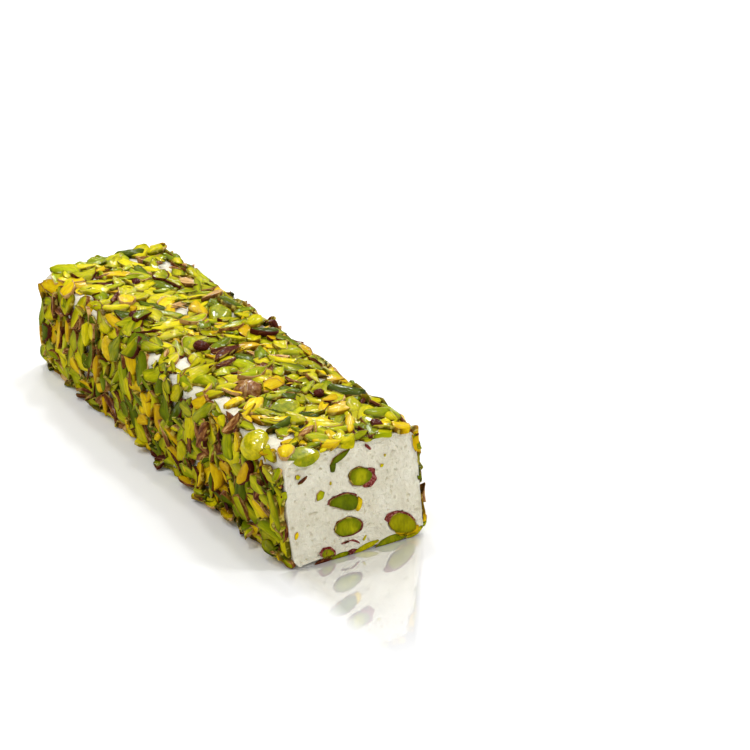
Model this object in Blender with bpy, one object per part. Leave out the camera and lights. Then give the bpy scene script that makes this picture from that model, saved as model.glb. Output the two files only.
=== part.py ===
"""Turkish delight roll: a bar of whipped nougat, pressed in slivered pistachios and cut off at both ends.

Metres, +Z up. The roll lies along Y with its front cut at -Y. It rests on its flat underside, and the
origin is in the middle of that face. Whole pistachio kernels lie in the coat and are cut through at both ends.
"""

import collections
import math

import bmesh
import bpy
import numpy as np
from mathutils import Matrix

# The bar of nougat
LENGTH = 0.1855
WIDTH = 0.0505
HEIGHT = 0.0400  # at the front cut
HEIGHT_BACK = 0.0370
CORNER = 0.0042  # radius of the long edges
BULGE = 0.0006  # how far each side swells in its middle
WAVE = 0.0004  # how uneven the sides are
WAVES = ((0.6, 70, 110, 0.0), (0.4, 130, -60, 1.3))  # share, radians a metre along and round, and start
LEAN = 0.0028  # how far the front's top lies towards -X of its bottom
FRONT_SLANT = 0.0025  # how far the knife cuts slope to +Y over the height
BACK_SLANT = -0.0012

# The facets of the bar
CORNER_STEPS = 4
SIDE_STEPS = 3
RINGS = 15
CUT_SPARE = 0.0030  # how far the bar ran past each cut

# The slivers of the coat
LOOSE_SLIVERS = 190  # those laid at random, besides the ones that have a place below
SLIVER_LENGTH = (0.0080, 0.0145)
SLIVER_WIDTH = (0.0036, 0.0064)
SLIVER_THICKNESS = (0.0011, 0.0017)
SLIVER_SIDES = 6
UNEVEN = 0.10  # share by which its outline varies
ROOT = 0.0006  # how deep its foot reaches below the nougat's surface
FOOT = 0.8  # how wide its foot is beside its top
SINK = 0.0003  # how far it is pressed into what it lies on
STEEPEST = 0.28  # slope that it may take from what it lies on
SUPPORT = 75  # percentile of the heights under it that holds it up
TRIES = 12  # places looked at for each loose sliver, of which the barest is taken
ALONG_EDGE = math.radians(25)  # how far one that lies over a long edge turns from it
EDGE_FACES = (0.1, 0.995)  # how far towards X the nougat faces on a long edge
GRID = 0.0006  # spacing of the coat's height map
LEAST_FACING = 0.3  # cosine between a sliver and the nougat below which its height isn't followed
SEED = 7

# The kernels
GAP = 0.0003  # clearance round each kernel
KERNEL_SIDES = 12
KERNEL_RINGS = 7
POINTED = 0.3  # how much narrower than an ellipsoid it is at its ends

Sliver = collections.namedtuple("Sliver", "top lengthwise crosswise facing length width depth")
Kernel = collections.namedtuple("Kernel", "middle size rotation")

# Slivers with a place of their own, in millimetres and degrees. On the top each row holds x, y, the turn
# from +Y towards +X, length and width, and x runs on over the long edges. On the left side a row starts with
# z in place of x, and the turn is upwards.
TOP_SLIVERS = (
    (-9, -28, 127, 16, 9),
    (12, -32, 150, 15, 6.5),
    (-3.5, -48, 85, 14, 5),
    (-2.5, -70, 142, 15, 4.5),
    (1, -64, 83, 9, 6.5),
    (9, -68, 77, 11, 7),
    (7, -78, 30, 15, 3.5),
    (13, -80, 15, 15, 4.5),
    (20.5, -88.5, 147, 7, 6.5),
    (-8, -82.5, 160, 15, 7),
    (-14, -68, 69, 12, 4.5),
    (-17.5, -60, 150, 8, 4.5),
    (-24, -55, 20, 12, 3.5),
    (-19, -45, 76, 8, 4),
    (-15, -51, 46, 12, 6),
    (9.5, -43.5, 74, 13, 5),
    (18, -56.5, 148, 14, 6.5),
    (20, -45.5, 97, 7, 6.5),
    (23, -66, 101, 8, 7),
    (23, -77, 175, 13, 4),
    (-0.5, -90, 73, 9, 5),
    (-19, -17, 77, 16, 9.5),
    (-8.5, 23, 90, 14, 6.5),
    (-3.5, 12, 112, 18, 5),
    (10, 42, 107, 13, 5),
    (-8, 50, 95, 11, 8),
    (-5, 73, 125, 12, 5),
    (5.5, 55, 160, 12, 7),
    (16, 56, 5, 12, 4.5),
    (-16, 65, 155, 11, 9),
    (4, 80, 165, 14, 5),
    (-23, 21, 56, 11, 6),
    (18.5, -20, 124, 11.5, 6.5),
    (9, -18, 134, 16, 4),
    (6, -9, 87, 13, 5),
)
LEFT_SLIVERS = (
    (30, -85.5, 105, 15, 4.5),
    (24, -62, 8, 13, 6.5),
    (9, -59, 35, 9, 8),
    (14, -72.5, 35, 12, 5),
    (8, -89.5, 100, 13, 4.5),
    (17, -85.5, 110, 12, 6.5),
    (8, -80, 175, 12, 6.5),
    (2.5, -46, 165, 15, 4.5),
    (3, -34, 165, 15, 5.5),
    (26, -34.5, 46, 16, 5),
    (20, -20, 128, 10, 4.5),
    (7, -24, 172, 15, 5),
    (13.5, -39, 138, 12, 5),
    (21, -50.5, 175, 9, 5),
    (36, -37, 132, 13, 5.5),
    (16, 46, 53, 14, 6),
    (17, 57.5, 25, 12, 8),
    (25, 23, 78, 15, 9),
    (26, 12, 150, 14, 4.5),
    (36, -1, 146, 14, 6),
    (17, 9, 116, 14, 5),
    (7, 27, 5, 17, 5.5),
    (19, -9.5, 135, 12, 7),
    (34, 29, 115, 13, 8.5),
    (9, -6, 119, 10, 5.5),
    (7, 64, 5, 11, 7),
    (11, 84, 34, 11, 8),
)

# Places on the top left bare, in millimetres: x, y and radius.
BARE_PATCHES = (
    (18, 75, 4),
    (-24, 65, 4),
    (9, 83, 3),
    (1.5, 33, 3),
    (-24, 48, 3),
    (-24, 5, 3),
    (-17.5, -5, 3.5),
    (-25, -12, 3),
    (-25, -26, 4),
    (-20, -39, 4.5),
    (-22, -51, 4),
    (-20.5, -65, 3),
    (-24, -86, 4),
    (3.5, -83, 2.5),
    (-15, -76, 3.5),
)

# Each kernel's middle, its length, width and thickness, and its turn about X, Y and Z in degrees.
FRONT_KERNELS = (
    Kernel((0.0021, -0.0895, 0.0278), (0.0160, 0.0086, 0.0078), (20, 0, 78)),
    Kernel((-0.0045, -0.0905, 0.0202), (0.0140, 0.0082, 0.0070), (0, 0, 12)),
    Kernel((-0.0030, -0.0900, 0.0112), (0.0140, 0.0084, 0.0080), (10, -14, 40)),
    Kernel((0.0190, -0.0905, 0.0078), (0.0150, 0.0090, 0.0084), (10, 28, 35)),
    Kernel((-0.0110, -0.0885, 0.0052), (0.0130, 0.0080, 0.0062), (0, -10, 50)),
)
BACK_KERNELS = (
    Kernel((-0.0120, 0.0890, 0.0262), (0.0150, 0.0084, 0.0078), (0, 16, 30)),
    Kernel((0.0080, 0.0885, 0.0280), (0.0160, 0.0088, 0.0080), (24, 0, 80)),
    Kernel((0.0150, 0.0895, 0.0165), (0.0140, 0.0082, 0.0074), (0, 30, 15)),
    Kernel((-0.0035, 0.0890, 0.0140), (0.0150, 0.0086, 0.0080), (10, -12, 48)),
    Kernel((-0.0165, 0.0900, 0.0095), (0.0130, 0.0080, 0.0070), (0, -40, 25)),
)
COAT_KERNELS = (
    Kernel((-0.0256, -0.0690, 0.0372), (0.0158, 0.0112, 0.0086), (-48, 8, 72)),
    Kernel((-0.0110, -0.0385, 0.0402), (0.0108, 0.0092, 0.0084), (0, 0, -20)),
    Kernel((-0.0070, -0.0565, 0.0402), (0.0136, 0.0088, 0.0070), (0, 0, 10)),
    Kernel((-0.0185, -0.0885, 0.0396), (0.0118, 0.0082, 0.0066), (0, 0, -12)),
    Kernel((0.0120, 0.0240, 0.0388), (0.0140, 0.0094, 0.0078), (0, 0, 55)),
    Kernel((0.0268, -0.0300, 0.0240), (0.0140, 0.0092, 0.0074), (0, 80, 0)),
    Kernel((-0.0258, 0.0350, 0.0290), (0.0138, 0.0090, 0.0074), (0, 70, 0)),
)


def remove_everything():
    for obj in list(bpy.data.objects):
        bpy.data.objects.remove(obj, do_unlink=True)


def collection_named(name, helper=False):
    collection = bpy.data.collections.new(name)
    collection.hide_render = helper
    bpy.context.scene.collection.children.link(collection)
    return collection


def material_named(name, colour, roughness):
    material = bpy.data.materials.new(name)
    material.use_nodes = True
    shader = material.node_tree.nodes["Principled BSDF"]
    shader.inputs["Base Color"].default_value = (*colour, 1.0)
    shader.inputs["Roughness"].default_value = roughness
    return material


def object_from(name, shape, collection):
    """An object in the collection that holds the bmesh, its faces turned outwards. The bmesh is freed."""
    bmesh.ops.recalc_face_normals(shape, faces=shape.faces)
    if shape.calc_volume(signed=True) < 0:
        bmesh.ops.reverse_faces(shape, faces=shape.faces)
    mesh = bpy.data.meshes.new(name)
    shape.to_mesh(mesh)
    shape.free()
    obj = bpy.data.objects.new(name, mesh)
    collection.objects.link(obj)
    return obj


def boolean(obj, operation, other, solver="EXACT"):
    """Adds a Boolean modifier on an object or on a whole collection."""
    modifier = obj.modifiers.new(operation.title(), "BOOLEAN")
    modifier.operation = operation
    modifier.solver = solver
    if isinstance(other, bpy.types.Collection):
        modifier.operand_type = "COLLECTION"
        modifier.collection = other
    else:
        modifier.object = other
    return modifier


def apply_modifiers(obj):
    """Makes the shape that the object's modifiers give its own mesh."""
    bpy.context.view_layer.update()
    graph = bpy.context.evaluated_depsgraph_get()
    mesh = bpy.data.meshes.new_from_object(obj.evaluated_get(graph))
    obj.modifiers.clear()
    obj.data = mesh


# The bar


def outline_points(steps):
    """Rows of x, z and outward angle round the front's outline, from the underside's middle towards +X."""
    middle_x = WIDTH / 2 - CORNER
    corners = (
        (middle_x, CORNER),
        (middle_x, HEIGHT - CORNER),
        (-middle_x, HEIGHT - CORNER),
        (-middle_x, CORNER),
    )
    rows = [(0.0, 0.0, math.radians(-90))]
    for quarter, (x, z) in enumerate(corners):
        for step in range(steps + 1):
            angle = math.radians(-90 + 90 * (quarter + step / steps))
            rows.append((x + CORNER * math.cos(angle), z + CORNER * math.sin(angle), angle))
    rows.append((0.0, 0.0, math.radians(270)))
    return np.array(rows)


OUTLINE = outline_points(12)
DISTANCE = np.concatenate([[0.0], np.cumsum(np.hypot(*np.diff(OUTLINE[:, :2], axis=0).T))])
ROUND = DISTANCE[-1]  # the way round the outline
UNDERSIDE = WIDTH / 2 - CORNER  # from the underside's middle to where its edge curves up
BEND = math.pi / 2 * CORNER  # the way round one long edge
TOP_MIDDLE = ROUND / 2
LEFT_MIDDLE = ROUND - UNDERSIDE - BEND - (HEIGHT / 2 - CORNER)


def surface(around, along):
    """Points of the bare nougat at distances round and along it, and the directions that face out there."""
    x, z, angle = (np.interp(np.mod(around, ROUND), DISTANCE, column) for column in OUTLINE.T)
    outward = np.stack([np.cos(angle), np.zeros_like(angle), np.sin(angle)], axis=-1)
    back = along / LENGTH + 0.5
    up = z / HEIGHT
    side_swell = np.abs(outward[..., 0]) * (1 - (2 * up - 1) ** 2)
    top_swell = np.maximum(outward[..., 2], 0) * (1 - (2 * x / WIDTH) ** 2)
    waves = sum(share * np.sin(a * along + r * around + start) for share, a, r, start in WAVES)
    swell = BULGE * (side_swell + top_swell) + WAVE * waves * np.clip(outward[..., 2] + 1, 0, 1)
    x = x - LEAN * (1 - back) * (up - 0.5)
    z = z * (1 + (HEIGHT_BACK / HEIGHT - 1) * back)
    return np.stack([x, along, z], axis=-1) + outward * swell[..., None], outward


def stations_round():
    """Distances round the outline at which the bar has an edge."""
    bends = outline_points(CORNER_STEPS)[1:-1, :2]
    finer = OUTLINE[:, :2]
    at_bends = [DISTANCE[np.argmin(np.hypot(*(finer - bend).T))] for bend in bends]
    stations = []
    for here, there in zip(at_bends, at_bends[1:] + [at_bends[0] + ROUND]):
        flat = there - here > CORNER
        steps = SIDE_STEPS if flat else 1
        stations += [here + (there - here) * step / steps for step in range(steps)]
    return np.array(stations)


def uncut_bar(collection):
    """The bar before its ends are cut off, lofted along its length."""
    shape = bmesh.new()
    around = stations_round()
    rings = []
    for along in np.linspace(-LENGTH / 2 - CUT_SPARE, LENGTH / 2 + CUT_SPARE, RINGS):
        points, _ = surface(around, np.full(len(around), along))
        rings.append([shape.verts.new(point) for point in points])
    for ring, following in zip(rings, rings[1:]):
        for i in range(len(ring)):
            shape.faces.new((ring[i - 1], ring[i], following[i], following[i - 1]))
    shape.faces.new(rings[0])
    shape.faces.new(rings[-1])
    return object_from("nougat_roll", shape, collection)


def knife_block(collection):
    """The space between the two knife cuts and above the tray, as a cutter."""
    shape = bmesh.new()
    bmesh.ops.create_cube(shape, size=2.0)
    for vertex in shape.verts:
        at_back = vertex.co.y > 0
        z = 2 * HEIGHT if vertex.co.z > 0 else 0.0
        slant = BACK_SLANT if at_back else FRONT_SLANT
        y = math.copysign(LENGTH / 2, vertex.co.y) + slant * z / HEIGHT
        vertex.co = (vertex.co.x * WIDTH, y, z)
    block = object_from("knife_block", shape, collection)
    block.display_type = "WIRE"
    block.hide_render = True
    return block


# The coat


def unit(vector):
    return vector / np.linalg.norm(vector)


class Coat:
    """How far the slivers laid so far stand out from the nougat, on a grid unrolled from its four sides."""

    def __init__(self):
        around = np.arange(0.0, ROUND, GRID)
        along = np.arange(-LENGTH / 2, LENGTH / 2, GRID)
        self.base, self.outward = surface(*np.meshgrid(around, along, indexing="ij"))
        self.lift = np.zeros(self.base.shape[:2])

    def window(self, around, along, reach):
        """Index of the grid's cells within reach of a place."""
        row, column = round(around / GRID), round((along + LENGTH / 2) / GRID)
        cells = math.ceil(reach / GRID)
        rows = np.arange(row - cells, row + cells + 1) % self.lift.shape[0]
        columns = np.arange(max(column - cells, 0), min(column + cells + 1, self.lift.shape[1]))
        return np.ix_(rows, columns)

    def thickness(self, around, along, reach):
        return self.lift[self.window(around, along, reach)].mean()

    def lay(self, around, along, heading, length, width, thickness):
        """Rests one sliver on what lies there and returns it."""
        window = self.window(around, along, length / 2 + GRID)
        base, outward, lift = self.base[window], self.outward[window], self.lift[window]
        middle, normal = surface(np.array(around), np.array(along))
        lengthwise = math.cos(heading) * np.array([0.0, 1.0, 0.0])
        lengthwise = lengthwise + math.sin(heading) * np.cross(normal, [0.0, 1.0, 0.0])
        crosswise = np.cross(normal, lengthwise)

        def inside(offsets, long_way, short_way):
            return (2 * offsets @ long_way / length) ** 2 + (2 * offsets @ short_way / width) ** 2 < 1

        beds = base + outward * lift[..., None] - middle
        under = inside(beds, lengthwise, crosswise)
        bed = beds[under]
        places = np.stack([np.ones(len(bed)), bed @ lengthwise, bed @ crosswise], axis=1)
        height = bed @ normal
        slope = np.clip(np.linalg.lstsq(places, height, rcond=None)[0], -STEEPEST, STEEPEST)
        slope[0] = 0.0
        rise = np.percentile(height - places @ slope, SUPPORT) - SINK
        gap = np.median(rise + places @ slope - (base - middle)[under] @ normal)
        lengthwise = unit(lengthwise + slope[1] * normal)
        facing = unit(np.cross(lengthwise, crosswise + slope[2] * normal))
        crosswise = np.cross(facing, lengthwise)
        top = middle + rise * normal + thickness * facing
        reach = (top - base) @ facing / np.maximum(outward @ facing, LEAST_FACING)
        covered = inside(base + outward * reach[..., None] - top, lengthwise, crosswise)
        self.lift[window] = np.where(covered, np.maximum(lift, reach), lift)
        return Sliver(top, lengthwise, crosswise, facing, length, width, thickness + gap + ROOT)


def taken(around, along):
    """Whether a kernel lies at this place, or it is left bare."""
    point, _ = surface(np.array(around), np.array(along))
    for kernel in COAT_KERNELS:
        if np.linalg.norm(point - np.array(kernel.middle)) < kernel.size[0] / 2 + SLIVER_WIDTH[0] / 2:
            return True
    return any(
        math.hypot(TOP_MIDDLE - around - x / 1000, along - y / 1000) < radius / 1000
        for x, y, radius in BARE_PATCHES
    )


def barest_place(coat, rng, reach):
    """Of a few random places, the one with the least on it."""
    places = []
    while len(places) < TRIES:
        around = rng.uniform(UNDERSIDE + BEND / 2, ROUND - UNDERSIDE - BEND / 2)
        along = rng.uniform(-LENGTH / 2, LENGTH / 2)
        if not taken(around, along):
            places.append((coat.thickness(around, along, reach), around, along))
    return min(places)[1:]


def over_an_edge(around):
    """Whether this distance round the outline lies on one of the long edges."""
    _, normal = surface(np.array(around), np.array(0.0))
    return EDGE_FACES[0] < abs(normal[0]) < EDGE_FACES[1]


def lay_placed_slivers(coat, rng):
    """The slivers that have a place of their own."""
    rows = [(TOP_MIDDLE - x / 1000, *row) for x, *row in TOP_SLIVERS]
    rows += [(LEFT_MIDDLE + HEIGHT / 2 - z / 1000, *row) for z, *row in LEFT_SLIVERS]
    slivers = []
    for around, y, turn, length, width in rows:
        thickness = rng.uniform(*SLIVER_THICKNESS)
        heading = -math.radians(turn)
        slivers.append(coat.lay(around, y / 1000, heading, length / 1000, width / 1000, thickness))
    return slivers


def lay_loose_slivers(coat, rng):
    """The slivers that fell where they liked, the longest first."""
    slivers = []
    for length in np.sort(rng.uniform(*SLIVER_LENGTH, LOOSE_SLIVERS))[::-1]:
        width = rng.uniform(*SLIVER_WIDTH)
        thickness = rng.uniform(*SLIVER_THICKNESS)
        around, along = barest_place(coat, rng, width)
        heading = rng.uniform(0.0, math.pi)
        if over_an_edge(around):
            heading = rng.normal(0.0, ALONG_EDGE)
        slivers.append(coat.lay(around, along, heading, length, width, thickness))
    return slivers


def sliver_object(name, sliver, rng, collection):
    """A flat piece with slanting sides and a foot that reaches into the nougat."""
    shape = bmesh.new()
    bmesh.ops.create_cone(
        shape, cap_ends=True, segments=SLIVER_SIDES, radius1=FOOT, radius2=1.0, depth=1.0
    )
    reaches = 1 + UNEVEN * rng.uniform(-1.0, 1.0, SLIVER_SIDES)
    for vertex in shape.verts:
        corner = round(math.atan2(vertex.co.y, vertex.co.x) / math.tau * SLIVER_SIDES)
        reach = reaches[corner % SLIVER_SIDES]
        offset = vertex.co.x * reach * sliver.length / 2 * sliver.lengthwise
        offset = offset + vertex.co.y * reach * sliver.width / 2 * sliver.crosswise
        offset = offset + (vertex.co.z - 0.5) * sliver.depth * sliver.facing
        vertex.co = sliver.top + offset
    return object_from(name, shape, collection)


def keep_largest_shell(obj):
    """Drops the scraps and the sealed hollows that joining leaves, each of which is a shell of its own."""
    shape = bmesh.new()
    shape.from_mesh(obj.data)
    unseen = set(shape.faces)
    shells = []
    while unseen:
        shell = [unseen.pop()]
        for face in shell:
            for neighbour in {other for edge in face.edges for other in edge.link_faces} & unseen:
                unseen.remove(neighbour)
                shell.append(neighbour)
        shells.append(shell)
    shells.sort(key=len)
    spare = [face for shell in shells[:-1] for face in shell]
    bmesh.ops.delete(shape, geom=spare, context="FACES")
    shape.to_mesh(obj.data)
    shape.free()


# The kernels


def kernel_object(name, kernel, collection, grow=0.0):
    """A kernel, narrower at its ends than an ellipsoid, or with grow the pocket round one."""
    shape = bmesh.new()
    bmesh.ops.create_uvsphere(shape, u_segments=KERNEL_SIDES, v_segments=KERNEL_RINGS, radius=1.0)
    bmesh.ops.rotate(shape, verts=shape.verts, matrix=Matrix.Rotation(math.radians(90), 3, "Y"))
    length, width, thickness = (size / 2 + grow for size in kernel.size)
    for vertex in shape.verts:
        taper = 1 - POINTED * vertex.co.x**2
        vertex.co = (vertex.co.x * length, vertex.co.y * width * taper, vertex.co.z * thickness * taper)
    obj = object_from(name, shape, collection)
    obj.location = kernel.middle
    obj.rotation_euler = [math.radians(angle) for angle in kernel.rotation]
    obj.data.shade_smooth()
    return obj


def add_kernels(parts, pockets, block, material):
    """Each kernel in the parts, cut off where the knife went through, and its pocket among the cutters."""
    groups = (("front", FRONT_KERNELS), ("back", BACK_KERNELS), ("coat", COAT_KERNELS))
    for group, kernels in groups:
        for number, kernel in enumerate(kernels, start=1):
            name = f"kernel_{group}_{number}"
            obj = kernel_object(name, kernel, parts)
            obj.data.materials.append(material)
            if group != "coat":
                boolean(obj, "INTERSECT", block)
            pocket = kernel_object(f"pocket_{group}_{number}", kernel, pockets, grow=GAP)
            pocket.display_type = "WIRE"
            pocket.hide_render = True


def main():
    remove_everything()
    rng = np.random.default_rng(SEED)
    parts = collection_named("turkish_delight_roll")
    cutters = collection_named("cutters", helper=True)
    pockets = collection_named("pockets", helper=True)
    coat = collection_named("coat", helper=True)

    roll = uncut_bar(parts)
    heights = Coat()
    slivers = lay_placed_slivers(heights, rng) + lay_loose_slivers(heights, rng)
    for number, sliver in enumerate(slivers):
        sliver_object(f"sliver_{number}", sliver, rng, coat)
    block = knife_block(cutters)
    add_kernels(parts, pockets, block, material_named("kernel_green", (0.31, 0.35, 0.02), 0.35))
    boolean(roll, "UNION", coat, solver="MANIFOLD")
    boolean(roll, "INTERSECT", block, solver="MANIFOLD")
    boolean(roll, "DIFFERENCE", pockets, solver="MANIFOLD")
    apply_modifiers(roll)
    keep_largest_shell(roll)
    for sliver in list(coat.objects):
        bpy.data.objects.remove(sliver, do_unlink=True)
    roll.data.materials.clear()
    roll.data.materials.append(material_named("nougat_white", (0.80, 0.77, 0.66), 0.7))


main()
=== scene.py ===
"""Looks of the turkish delight roll: whipped nougat, a coat of slivered pistachios, and kernels in its cuts.

Metres, +Z up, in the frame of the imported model. The first half lays the coat by the same rule and seed as the
part, so that each sliver of the solids has its own here. Some of these are then moved by up to 4 mm, to leave the
bare patches bare and to stay inside the box. The second half gives the pieces their fine shapes and finish.
"""

import collections
import math

import bpy
import numpy as np
from mathutils import Euler, Matrix, Vector, noise


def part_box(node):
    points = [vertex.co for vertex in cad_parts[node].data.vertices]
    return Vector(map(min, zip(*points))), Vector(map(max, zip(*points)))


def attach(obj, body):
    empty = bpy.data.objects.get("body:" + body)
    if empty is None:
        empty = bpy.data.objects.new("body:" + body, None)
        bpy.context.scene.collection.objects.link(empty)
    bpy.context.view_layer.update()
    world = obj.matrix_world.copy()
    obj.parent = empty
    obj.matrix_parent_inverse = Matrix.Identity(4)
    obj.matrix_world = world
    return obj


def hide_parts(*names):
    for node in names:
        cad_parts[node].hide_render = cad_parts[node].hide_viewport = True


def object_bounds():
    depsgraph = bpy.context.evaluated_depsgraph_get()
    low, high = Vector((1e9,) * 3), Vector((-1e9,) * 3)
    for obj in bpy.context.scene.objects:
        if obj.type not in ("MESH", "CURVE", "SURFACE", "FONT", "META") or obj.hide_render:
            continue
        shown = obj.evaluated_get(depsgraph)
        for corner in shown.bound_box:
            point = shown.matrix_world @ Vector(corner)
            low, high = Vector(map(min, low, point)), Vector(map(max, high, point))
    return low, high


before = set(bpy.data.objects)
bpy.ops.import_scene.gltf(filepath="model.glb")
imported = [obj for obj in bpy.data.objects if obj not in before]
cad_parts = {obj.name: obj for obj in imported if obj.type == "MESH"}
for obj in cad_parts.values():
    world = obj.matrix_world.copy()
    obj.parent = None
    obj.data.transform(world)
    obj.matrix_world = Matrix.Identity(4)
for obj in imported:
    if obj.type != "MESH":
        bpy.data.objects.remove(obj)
CAD_BOX = [list(corner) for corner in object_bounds()]


def table(text):
    """Rows of numbers and words. A comma or the end of a line ends each row."""
    rows = [row.split() for row in text.replace("\n", ",").split(",")]
    return [[item if item[0].isalpha() else float(item) for item in row] for row in rows if row]


# The bar of nougat, as in the part
LENGTH = 0.1855
WIDTH = 0.0505
HEIGHT = 0.0400
HEIGHT_BACK = 0.0370
CORNER = 0.0042
BULGE = 0.0006
WAVE = 0.0004
WAVES = ((0.6, 70, 110, 0.0), (0.4, 130, -60, 1.3))
LEAN = 0.0028
FRONT_SLANT = 0.0025
BACK_SLANT = -0.0012

# The coat, as in the part
LOOSE_SLIVERS = 190
SLIVER_LENGTH = (0.0080, 0.0145)
SLIVER_WIDTH = (0.0036, 0.0064)
SLIVER_THICKNESS = (0.0011, 0.0017)
SINK = 0.0003
STEEPEST = 0.28
SUPPORT = 75
TRIES = 12
ALONG_EDGE = math.radians(25)
EDGE_FACES = (0.1, 0.995)
GRID = 0.0006
LEAST_FACING = 0.3
SEED = 7
POINTED = 0.3

# The slivers that fill the coat between those, which the part leaves out: how many, their lengths, widths and
# thicknesses, the percentile of what lies under one that it rests on, and how far it is tipped, in radians.
Fill = collections.namedtuple("Fill", "count lengths widths thicknesses support tilt")
FILLS = (
    Fill(400, (0.0085, 0.0150), (0.0034, 0.0072), (0.0009, 0.0015), 40, 0.08),
    Fill(240, (0.0050, 0.0090), (0.0018, 0.0042), (0.0007, 0.0012), 32, 0.10),
    Fill(70, (0.0060, 0.0110), (0.0024, 0.0046), (0.0007, 0.0011), 66, 0.20),
    Fill(75, (0.0035, 0.0075), (0.0012, 0.0028), (0.0003, 0.0005), 72, 0.26),
)
SIDE_TILT = 1.45  # how much more those on the sides are tipped
HANGING, HANG = 0.6, (2.0, 0.6)  # the share of those that hang slanting, and their headings' mean and spread
SIDE_THICKER = 1.3  # and how much thicker those on the sides are
FILL_TRIES = 14  # places looked at for each
LOOKED_AT = 0.6  # how far round each of them, as a share of the width
CLEARANCE = 0.45  # how much of a bare patch's radius each keeps off
KEPT_SHARE = 0.30  # and, of a placed sliver, how much of its width
SAME_SIDE = 0.006  # a patch that lies further above or below a sliver than this is on another side

# Slivers pressed flat between the nougat and the tray
UNDER_SLIVERS = 150
UNDER_X = (-0.0180, 0.0215)
UNDER_ENDS = (0.007, 0.003)  # how far they keep off the front and back cut
UNDER_THICKNESS = (0.0013, 0.0019)
UNDER_GAP = (0.00012, 0.00040)
UNDER_RAISE = 0.0014  # how far they hold the nougat off the tray
UNDER_EDGE = (-0.0235, -0.0205)  # x between which that begins

# Slivers that stick out of the sides just above the tray: ranges of size, of the turn from X, of the rise of their
# length, of which way they face, and of place
FRINGE = 44
FRINGE_LENGTH = (0.0065, 0.0115)
FRINGE_WIDTH = (0.0028, 0.0050)
FRINGE_THICKNESS = (0.0009, 0.0014)
FRINGE_TURN = (0.5, 1.35)
FRINGE_DIP = (-0.10, 0.35)
FRINGE_FACING = ((0.1, 0.9), (-0.3, 0.3))
FRINGE_ENDS = 0.006
FRINGE_X = (0.0262, 0.0278)
FRINGE_Z = (0.0022, 0.0060)

# The fine mesh of the nougat
ROUND_STEPS = 360
LONG_STEPS = 84
CUT_RINGS = 92

Sliver = collections.namedtuple("Sliver", "top lengthwise crosswise facing length width thickness kind rimmed")
Kernel = collections.namedtuple("Kernel", "middle size rotation kind")

# On the top: x, y, the turn from +Y towards +X, length and width. On the left side: z, y and the same, turned
# upwards. Millimetres and degrees, as in the part, and then the kind. A kind that ends in + has a rim of skin on one
# side, and one that ends in ++ has it all round.
TOP_SLIVERS = table("""
    -9 -28 127 16 9 lime, 12 -32 150 15 6.5 green, -3.5 -48 85 14 5 green+, -2.5 -70 142 15 4.5 yellow,
    1 -64 83 9 6.5 lime, 9 -68 77 11 7 yellow, 7 -78 30 15 3.5 yellow, 13 -80 15 15 4.5 green+,
    20.5 -88.5 147 7 6.5 yellow, -8 -82.5 160 15 7 green+, -14 -68 69 12 4.5 deep,
    -17.5 -60 150 8 4.5 yellow, -24 -55 20 12 3.5 skin, -19 -45 76 8 4 yellow, -15 -51 46 12 6 yellow+,
    9.5 -43.5 74 13 5 green, 18 -56.5 148 14 6.5 deep, 20 -45.5 97 7 6.5 yellow, 23 -66 101 8 7 lime,
    23 -77 175 13 4 green, -0.5 -90 73 9 5 lime, -19 -17 77 16 9.5 lime+, -8.5 23 90 14 6.5 lime,
    -3.5 12 112 18 5 yellow, 10 42 107 13 5 green, -8 50 95 11 8 lime, -5 73 125 12 5 yellow,
    5.5 55 160 12 7 deep, 16 56 5 12 4.5 skin, -16 65 155 11 9 lime, 4 80 165 14 5 lime,
    -23 21 56 11 6 deep+, 18.5 -20 124 11.5 6.5 green, 9 -18 134 16 4 skin, 6 -9 87 13 5 yellow
""")
LEFT_SLIVERS = table("""
    30 -85.5 105 15 4.5 deep, 24 -62 8 13 6.5 lime, 9 -59 35 9 8 green, 14 -72.5 35 12 5 lime,
    8 -89.5 100 13 4.5 lime, 17 -85.5 110 12 6.5 lime, 8 -80 175 12 6.5 green,
    2.5 -46 165 15 4.5 yellow, 3 -34 165 15 5.5 green, 26 -34.5 46 16 5 skin, 20 -20 128 10 4.5 green,
    7 -24 172 15 5 green, 13.5 -39 138 12 5 yellow, 21 -50.5 175 9 5 yellow, 36 -37 132 13 5.5 green,
    16 46 53 14 6 yellow, 17 57.5 25 12 8 lime, 25 23 78 15 9 green, 26 12 150 14 4.5 yellow,
    36 -1 146 14 6 green, 17 9 116 14 5 yellow, 7 27 5 17 5.5 green+, 19 -9.5 135 12 7 green,
    34 29 115 13 8.5 green, 9 -6 119 10 5.5 green, 7 64 5 11 7 green, 11 84 34 11 8 green
""")
# Where the nougat shows on the top, as in the part: x, y and radius in millimetres
BARE_PATCHES = table("""
    18 75 4, -24 65 4, 9 83 3, 1.5 33 3, -24 48 3, -24 5 3, -17.5 -5 3.5, -25 -12 3, -25 -26 4,
    -20 -39 4.5, -22 -51 4, -20.5 -65 3, -24 -86 4, 3.5 -83 2.5, -15 -76 3.5
""")
# Where it shows besides
TOP_PATCHES = table("-21 -80 2.4, -22.5 -89.5 2.2, -21.8 -42.5 2.8, -22.6 -47 2.2, 14.6 71 2.4, -19.2 -7.5 2")
# And where it shows on the left side: z, y and radius
LEFT_PATCHES = table("""
    16 -54.3 2, 5.5 -41 1.8, 4.1 -51.2 1.8, 6.1 -67 2, 18 -80.7 1.8, 3.7 17.2 2, 4.9 1 2.2,
    10.1 7.3 1.6, 24 52 1.8, 30 68 1.8
""")

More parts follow.
